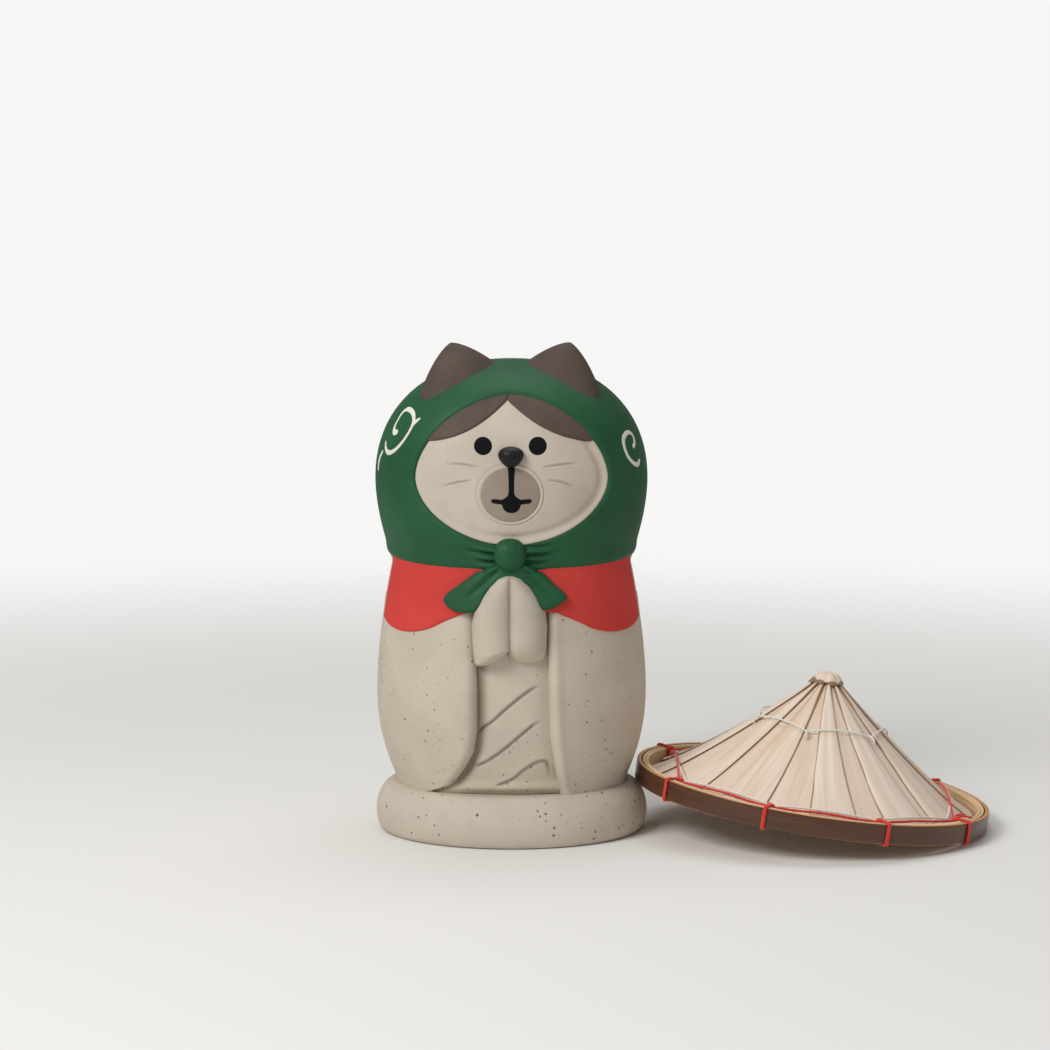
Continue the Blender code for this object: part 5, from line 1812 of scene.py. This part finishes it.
@dataclass
class LeafCover:
    """The hat's leaves: one strip modelled once, then copied and laid for each place."""

    form: HatForm
    count: int = 24
    rows: int = 34
    columns: int = 15
    thick: float = 0.38 * MM
    start: float = 1.2 * MM
    upper_span: float = math.radians(17.5)
    lower_span: float = math.radians(25.0)
    seed: int = 11

    def blank(self) -> Piece:
        """The plain strip, whose vertices hold their place in its section and their row."""
        around = 2 * self.columns
        return bar("leaf_blank", around, self.rows,
                   lambda turn, row: np.stack([nearest(turn, around), row, 0 * row], axis=-1), None)

    def sides(self, number: int, along: Array, values: Array) -> tuple[Array, Array]:
        """The turns of a leaf's left and right edge.

        Args:
            number: The leaf's number, 0 for the first.
            along: How far down the leaf they are wanted.
            values: The leaf's irregularities, from -1 to 1.

        Returns:
            The left and the right edge's turns.
        """
        upper = number % 2 == 0
        half = (self.upper_span if upper else self.lower_span) / 2
        middle = math.tau * number / self.count
        slack = math.radians(1.3 if upper else 0.4) * along
        left = middle - half - slack * values[5] - math.radians(0.7) * np.sin(along * 5 + values[8] * 3)
        right = middle + half + slack * values[6]
        if upper:
            bend = 0.72 + 0.1 * values[3]
            left = left + math.radians(2.6) * np.clip((along - bend) / (1 - bend), 0, 1) * (values[4] > 0.1)
            right = right - math.radians(2.2) * np.clip((along - 0.6) / 0.4, 0, 1) * (values[7] > 0.4)
            skew = math.radians(4.6) * values[12] * (along - 0.25)
            left, right = left + skew, right + skew + math.radians(1.6) * values[13] * along
        return left, right

    def lay(self, piece: Piece, number: int, values: Array) -> None:
        """Lay one copy of the strip on the cone.

        Args:
            piece: The copy.
            number: The leaf's number, 0 for the first.
            values: The leaf's irregularities, from -1 to 1.
        """
        form = self.form
        upper = number % 2 == 0
        index, row, _ = corners(piece).T
        top = index < self.columns
        share = np.where(top, index, 2 * self.columns - 1 - index) / (self.columns - 1)
        aside = np.abs(2 * share - 1)
        along = row / self.rows
        point = 2.4 * MM * max(values[0], 0.1) if upper else 0.6 * MM
        end = form.cone_radius - (0.5 + 0.5 * abs(values[2])) * MM
        foot = end - point * np.abs(2 * share - 1 - 0.25 * values[1]) ** 1.6
        radius = self.start + (foot - self.start) * along
        left, right = self.sides(number, along, values)
        width = (right - left) * radius
        arch = 1 - aside**2.5
        lift = (0.43 + 0.3 * arch) * MM if upper else 0.02 * MM * arch
        ripple = np.sin(math.tau * (share * (1.6 + 0.5 * values[9]) + values[10])) * 0.09 * MM
        ripple += np.sin(math.tau * (share * 3.7 + values[11])) * 0.035 * MM
        lift = lift + ripple * soft_step(0, 0.5, along) * arch - np.where(top, 0.0, self.thick)
        set_corners(piece, form.at_rest(form.over(left + (right - left) * share, radius, lift)))
        mark(piece, "rim", np.minimum(np.minimum(share, 1 - share) * width, np.maximum(foot - radius, 0)))
        mark(piece, "fibre", radius + number * 0.07, (share - 0.5) * width, number + 0.5)

    def build(self, leaf: Dressed) -> None:
        """Build every leaf with the leaves' finish."""
        chance = np.random.default_rng(self.seed)
        blank = self.blank()
        for number in range(self.count):
            activate(blank)
            bpy.ops.object.duplicate(linked=False)
            piece = new_piece(f"leaf_strip_{number + 1:02d}")
            self.lay(piece, number, chance.uniform(-1, 1, 14))
            leaf.on(smooth(piece, 60), f"leaf_{number + 1:02d}")
        bpy.data.objects.remove(blank)


@dataclass
class Peak:
    """The gathered leaf ends that close the peak: a pleated cap with a folded end at one side."""

    form: HatForm
    reach: float = 3.5 * MM
    thick: float = 0.7 * MM
    hole: float = 1.4 * MM
    under: float = 0.36
    rows: int = 28

    def build(self) -> Piece:
        """Build the peak."""
        form = self.form

        def place(turn: Array, row: Array) -> Array:
            """Set the corners round the gathered leaf ends at each level."""
            share = row / self.rows
            under = share < self.under
            out = np.clip(np.where(under, share / self.under, (1 - share) / (1 - self.under)), 0, 1)
            pleat = np.cos(9 * turn + 1.3 * np.sin(2 * turn))
            fold = 1 + 0.3 * hump(turn, 3.0, 0.42) * out
            radius = self.reach * out * (1 + 0.07 * pleat * out) * fold * 0.93
            upper = self.thick * 0.75 * (1 - out**3) + 0.12 * MM * pleat * out * (1 - out) * 4
            raised = form.thread_raised + np.where(under, -0.14 * form.thread_raised, upper)
            x, y, z = form.over(turn, np.clip(radius, self.hole, self.reach * 1.4), raised).T
            crown = 0.55 * MM * (1 - np.clip(radius / (1.6 * MM), 0, 1) ** 2)
            reach = np.hypot(x, y) * np.clip(radius / self.hole, 0, 1)
            return form.at_rest(polar(reach, turn, z + np.where(under, 0, crown)))

        piece = ball("hat_peak_gather", 108, self.rows, place, 60)
        x, y, _ = corners(piece).T
        x = x - x.mean()
        away = np.hypot(x, y)
        mark(piece, "rim", np.clip(self.reach * 1.06 - away, 0, 1) * 0.8)
        mark(piece, "fibre", away, np.arctan2(y, x) * 2.0 * MM, 30.5)
        return piece


@dataclass
class Rings:
    """The round bamboo rings under the leaves."""

    form: HatForm
    thick: float = 1.4 * MM

    def build(self, name: str, radius: float) -> Piece:
        """Build one ring."""
        form = self.form
        raised = -(0.5 * MM + form.clear + self.thick / 2)

        def place(turn: Array, section: Array) -> Array:
            """Set the corners of the rod's section at each turn."""
            x, y, z = form.over(turn, radius, raised).T
            reach = np.hypot(x, y) + self.thick / 2 * np.cos(section)
            return form.at_rest(polar(reach, turn, z + self.thick / 2 * np.sin(section)))

        piece = hoop(name, 144, 14, place)
        x, y, z = corners(piece).T
        turn = np.arctan2(y, x - form.across)
        mark(piece, "cut", 0 * turn)
        mark(piece, "fibre", np.abs(turn) * radius, z + y * 0.3, z)
        return piece


@dataclass
class Threads:
    """The red thread with its lashings and knots, and the white threads with their stitches."""

    form: HatForm
    red_half: float = 0.33 * MM
    white_half: float = 0.27 * MM
    pitch: float = 1.5 * MM
    step: float = 0.4 * MM
    run_radius: float = 41.1 * MM
    run_height: float = 4.5 * MM
    white_inset: float = 2.9 * MM
    upper_radius: float = 16.0 * MM
    upper_corners: int = 6
    upper_turn: float = 0.2
    knot_rows: int = 18
    leans: tuple[float, ...] = (0.6, -0.4, 0.3, -0.7, 0.5, -0.3, 0.7, -0.5)
    ends: tuple[Triples, ...] = (
        ((0, 0.2, 0), (-0.8, 1.6, 0.6), (-0.3, 3.2, 0.9), (0.4, 4.4, 0.7)),
        ((0, 0.4, 0.2), (0.9, 1.3, 0.9), (2.2, 2.0, 1.0), (2.9, 3.2, 0.8)),
    )

    @staticmethod
    def spans(turns: Sequence[float]) -> Iterator[tuple[float, float]]:
        """Each turn with the next one, once round."""
        return zip(turns, (*turns[1:], turns[0] + math.tau))

    def strand(self, name: str, path: Array, aside: Sequence[float], half: float, sides: int = 10,
               closed: bool = False) -> Piece:
        """A two-ply twisted thread along a path.

        Args:
            name: The piece's name.
            path: Its middle line, one point a row, in the hat's own frame.
            aside: A direction across the path.
            half: Half its thickness.
            sides: How many sides its section has.
            closed: Whether it ends where it starts.

        Returns:
            The piece.
        """
        count = len(path)
        tangent = (np.roll(path, -1, axis=0) - np.roll(path, 1, axis=0) if closed
                   else np.gradient(path, axis=0))
        tangent /= np.linalg.norm(tangent, axis=1, keepdims=True)
        first = np.cross(tangent, aside)
        first /= np.linalg.norm(first, axis=1, keepdims=True)
        second = np.cross(tangent, first)
        along = run_lengths(path)
        turns = max(round(along[-1] / self.pitch), 1)
        twist = along / along[-1] * turns * math.pi * (1 - 1 / count * closed)
        thin = 1 - 0.5 * (not closed) * round_over(np.minimum(along, along[-1] - along), half) / half

        def place(turn: Array, row: Array) -> Array:
            """Set the corners of the twisted section along the path."""
            index = row.astype(int) % count
            size = half * (0.9 + 0.12 * np.cos(2 * (turn - twist[index]))) * thin[index]
            offset = first[index] * np.cos(turn)[:, None] + second[index] * np.sin(turn)[:, None]
            return self.form.at_rest(path[index] + offset * size[:, None])

        if not closed:
            return bar(name, sides, count - 1, place, 70)
        return hoop(name, count, sides,
                    lambda turn, section: place(section, np.rint(turn / math.tau * count)), 70)

    def red_run(self) -> Piece:
        """The red thread, pulled straight from lashing to lashing over the leaves."""
        rows = []
        for turns in self.spans(self.form.lashings):
            first, last = self.run_radius * np.array([(math.cos(turn), math.sin(turn)) for turn in turns])
            count = int(np.linalg.norm(last - first) / self.step)
            rows.append(first + (last - first) * np.linspace(0, 1, count, endpoint=False)[:, None])
        flat = np.vstack(rows)
        leaf = (self.form.cone(np.linalg.norm(flat, axis=1))
                + (self.form.thread_raised + self.red_half) * 1.25)
        height = np.maximum(self.run_height, leaf)
        for _ in range(14):
            height = (np.roll(height, 1) + 2 * height + np.roll(height, -1)) / 4
        return self.strand("red_run", np.column_stack([flat, height]), (0, 0, 1), self.red_half,
                           closed=True)

    def lashing(self, number: int, angle: float, lean: float) -> Piece:
        """One lashing: the red thread twice round both hoops."""
        gap = self.red_half
        inner, outer = self.form.inside - gap, self.form.outer + gap
        loop = np.roll(rounded_box(inner, outer, -gap, self.form.height + gap, 0.45 * MM, 5), -10, axis=0)
        ring = np.vstack([loop, loop, loop[:1]])
        along = run_lengths(ring)
        share = np.linspace(0, 1, 110)
        radius, height = (np.interp(share * along[-1], along, column) for column in ring.T)
        aside = (share - 0.5) * 2 * gap * 1.15 + lean * (radius - inner) / (outer - inner) * 0.7 * MM
        path = swing(np.stack([radius, aside, height], axis=-1), angle)
        return self.strand(f"red_lashing_{number}", path, (-math.sin(angle), math.cos(angle), 0), gap)

    def at_knot(self, local: Array, angle: float, above: float) -> Array:
        """Places beside a knot, given as (out, aside, up) from it, in the hat's own frame."""
        return swing(local + (self.run_radius, 0, self.run_height + above), angle)

    def knot(self, number: int, angle: float) -> Piece:
        """One small knot where the run meets a lashing."""
        def place(turn: Array, row: Array) -> Array:
            """Set the corners on a lumpy soft block."""
            share = row / self.knot_rows
            spots = soft_block(turn, share)
            lump = 1 + 0.16 * np.cos(3 * turn + 4 * spots[:, 2] + number) * np.sin(math.pi * share)
            local = spots * (0.95, 1.15, 0.75) * lump[:, None] * 0.92 * MM
            return self.form.at_rest(self.at_knot(local, angle, 0.35 * MM))

        return ball(f"red_knot_{number}", 28, self.knot_rows, place, 70)

    def white_loop(self, name: str, turns: Sequence[float], radius: float, raised: float) -> Piece:
        """A white thread pulled straight over the leaves between corners."""
        rows = []
        for start, end in self.spans(turns):
            length = (end - start) * radius
            share = np.linspace(0, 1, int(length / self.step), endpoint=False)
            angle, reach = self.form.geodesic(start, end, radius, share)
            dip = 0.35 * MM * hump(np.minimum(share, 1 - share) * length, 0, 0.9 * MM)
            rows.append(self.form.over(angle, reach, raised - dip))
        return self.strand(name, np.vstack(rows), (0, 0, 1), self.white_half, 8, True)

    def stitch(self, number: int, angle: float) -> Piece:
        """A short white stitch that holds a corner of the upper white thread down."""
        share = np.linspace(-1, 1, 14)
        path = self.form.over(angle + 0.012 * share, self.upper_radius + (0.4 + 1.1 * share) * MM,
                              self.form.thread_raised + (0.35 - share**4) * MM)
        aside = (-math.sin(angle), math.cos(angle), 0)
        return self.strand(f"white_stitch_{number}", path, aside, self.white_half, 8)

    def build(self, red: Dressed, white: Dressed) -> None:
        """Build every thread with the red and the white thread's finish."""
        form = self.form
        red.on(self.red_run(), "thread_red")
        for number, (angle, lean) in enumerate(zip(form.lashings, self.leans), 1):
            red.on(self.lashing(number, angle, lean), "thread_red")
            red.on(self.knot(number, angle), "thread_red")
        for number, points in enumerate(self.ends, 1):
            path = self.at_knot(smooth_path(points, 8), form.lashings[-1], 0.4 * MM)
            red.on(self.strand(f"red_end_{number}", path, (0.13, 0.21, 1.0), self.red_half * 0.9),
                   "thread_red")
        raised = form.thread_raised + self.white_half * 0.6
        white.on(self.white_loop("white_lower", form.lashings, self.run_radius - self.white_inset, raised),
                 "thread_white_lower")
        turns = [math.tau / self.upper_corners * (corner + self.upper_turn)
                 for corner in range(self.upper_corners)]
        white.on(self.white_loop("white_upper", turns, self.upper_radius, raised), "thread_white_upper")
        for number, angle in enumerate(turns, 1):
            white.on(self.stitch(number, angle), "thread_white_upper")


@dataclass
class Studio:
    """The plain pale studio, its soft lamps and the camera of the photograph."""

    eye: Triple = (0.0034, -0.750, 0.1596)
    pitch: float = math.radians(90 - 6.3)
    focal_pixels: float = 2995.0
    frame_pixels: float = 1050.0
    sensor: float = 36.0
    floor_colour: Triple = (238, 236, 232)
    ambient: float = 0.29
    backdrop: float = 0.93
    aim: Triple = (0.02, 0, 0.06)
    lamps: tuple[tuple[str, Triple, float, float], ...] = (
        ("key", (-0.46, -0.52, 0.6), 0.36, 4.8),
        ("fill", (0.6, -0.55, 0.3), 0.6, 0.45),
        ("top", (0.05, 0.2, 0.8), 0.5, 1.8),
    )

    def add(self, name: str, data: bpy.types.ID, spot: Triple) -> Piece:
        """Put a camera or a lamp at its place."""
        thing = bpy.data.objects.new(name, data)
        thing.location = spot
        bpy.context.scene.collection.objects.link(thing)
        return thing

    def camera(self) -> None:
        """Set up the camera."""
        data = bpy.data.cameras.new("camera")
        data.sensor_width = self.sensor
        data.lens = self.focal_pixels / self.frame_pixels * self.sensor
        data.clip_start = 0.01
        camera = self.add("camera", data, self.eye)
        camera.rotation_euler = (self.pitch, 0, 0)
        bpy.context.scene.camera = camera

    def light(self) -> None:
        """Add the soft square lamps, which face the figurine."""
        for name, spot, size, power in self.lamps:
            data = bpy.data.lights.new(name, "AREA")
            data.size = size
            data.energy = power
            aim = Vector(self.aim) - Vector(spot)
            self.add(name, data, spot).rotation_euler = aim.to_track_quat("-Z", "Y").to_euler()

    def floor(self) -> None:
        """Add the floor, which fades into the backdrop away from the figurine."""
        activate()
        bpy.ops.mesh.primitive_circle_add(vertices=96, radius=1.6, fill_type="NGON",
                                          location=(0, 0, -0.0002))
        piece = new_piece("floor")
        material = bpy.data.materials.new("floor")
        material.use_nodes = True
        nodes = Nodes(material.node_tree)
        place = nodes.add("TexCoord").outputs["Object"]
        reach = nodes.add("VectorMath", {"operation": "LENGTH"}, s0=place).outputs["Value"]
        nodes.feed(nodes.shader, Base_Color=srgb(*self.floor_colour), Roughness=0.9,
                   Alpha=nodes.ramp(reach, 0.16, 0.6, 1.0, 0.0))
        piece.data.materials.append(material)

    def world(self) -> None:
        """Light the room softly and show the camera a pale backdrop."""
        world = bpy.data.worlds.new("studio")
        world.use_nodes = True
        bpy.context.scene.world = world
        tree = world.node_tree
        nodes = Nodes(tree)
        ground = nodes.feed(tree.nodes["Background"], Color=(1, 1, 1, 1), Strength=self.ambient)
        shown = nodes.add("Background", Color=(1.0, 0.995, 0.985, 1), Strength=self.backdrop)
        path = nodes.add("LightPath").outputs
        seen = nodes.math("MAXIMUM", path["Is Camera Ray"], path["Is Transmission Ray"])
        mix = nodes.add("MixShader", s0=seen, s1=ground.outputs[0], s2=shown.outputs[0])
        nodes.feed(tree.nodes["World Output"], Surface=mix.outputs[0])

    def build(self) -> None:
        """Build the whole studio."""
        bpy.context.scene.view_settings.view_transform = "Standard"
        self.camera()
        self.floor()
        self.world()
        self.light()
        LOG.info("studio ready")


def main() -> None:
    """Build the studio and every piece of the object."""
    logging.basicConfig(level=logging.INFO, format="%(name)s: %(message)s")
    Studio().build()
    form = BodyForm.from_frame()
    groups = Groups()
    stone, base, plain, green, red, brown, cream, taupe, ink, gloss, white = (
        Dressed("figurine", finish, groups) for finish in (
            CastStone("stone", (200, 188, 171)),
            CastStone("stone", (202, 190, 174), 600.0, 0.62, 0.28),
            CastStone("stone", (198, 186, 169), 420.0, 0.1, 0.12),
            Paint("hood_green", (31, 84, 52), 0.55, 0.04),
            Paint("bib_red", (206, 64, 58), 0.7, 0.015, 0.2),
            Paint("fur_brown", (84, 71, 63), 0.65),
            Paint("face_cream", (198, 186, 170), 0.75, 0.02),
            Paint("muzzle_taupe", (152, 138, 124), 0.75, 0.02),
            Paint("ink_black", (15, 16, 18), 0.8, 0.05, 0.12),
            Paint("ink_black", (15, 16, 18), 0.48, 0.05, 0.3),
            Paint("swirl_white", (226, 222, 210), 0.6, 0.03)))
    dark, pale, leaf, red_thread, white_thread = (
        Dressed("hat", finish, groups) for finish in (
            Bamboo("bamboo_dark", (88, 50, 28), (206, 150, 92), 0.36, 0.12),
            Bamboo("bamboo_light", (226, 190, 142), (232, 200, 156), 0.5),
            DriedLeaf("leaf", (235, 218, 201)),
            Thread("thread_red", (220, 52, 36)),
            Thread("thread_white", (236, 230, 222))))

    opening = Opening(form.neck + 22.8 * MM)
    base.on(Plinth(form).build(), "plinth")
    patterns = tuple(SleevePattern.of(form, side) for side in Side)
    stone.on(Robe(form, patterns).build(), "robe")
    for pattern in patterns:
        stone.on(Sleeve(pattern).build(), f"sleeve_{pattern.side.word}")
    red.on(Bib(form).build(), "bib")
    green.on(Hood(form, opening.outline()).build(), "hood")
    Face(form, opening.outline(), opening.middle).build(cream, brown, ink, gloss, taupe)
    for side, tip in zip(Side, ((-15.0, -7.4, 123.08), (14.6, -7.4, 123.17))):
        brown.on(Ear(side, tip).build(), f"ear_{side.word}")
    knot = Knot(form)
    green.on(knot.build_block(), "knot")
    for side in Side:
        green.on(knot.build_tail(side), f"tail_{side.word}")
        plain.on(Paw.of(side).build(), f"paw_{side.word}")
    Swirls(form).build(white)

    hat = HatForm()
    hoops = Hoops(hat)
    dark.on(hoops.build_outer(), "hoop_outer")
    pale.on(hoops.build_inner("hoop_inner_strip_1", 42.9 * MM, 43.62 * MM, 4.86 * MM, 0.4), "hoop_inner")
    pale.on(hoops.build_inner("hoop_inner_strip_2", 42.1 * MM, 42.82 * MM, 4.7 * MM, 2.1), "hoop_inner")
    LeafCover(hat).build(leaf)
    leaf.on(Peak(hat).build(), "hat_peak")
    rings = Rings(hat)
    pale.on(rings.build("ring_upper_rod", 15.5 * MM), "ring_upper")
    pale.on(rings.build("ring_lower_rod", hat.inside - 2.6 * MM), "ring_lower")
    Threads(hat).build(red_thread, white_thread)


if __name__ == "__main__":
    main()
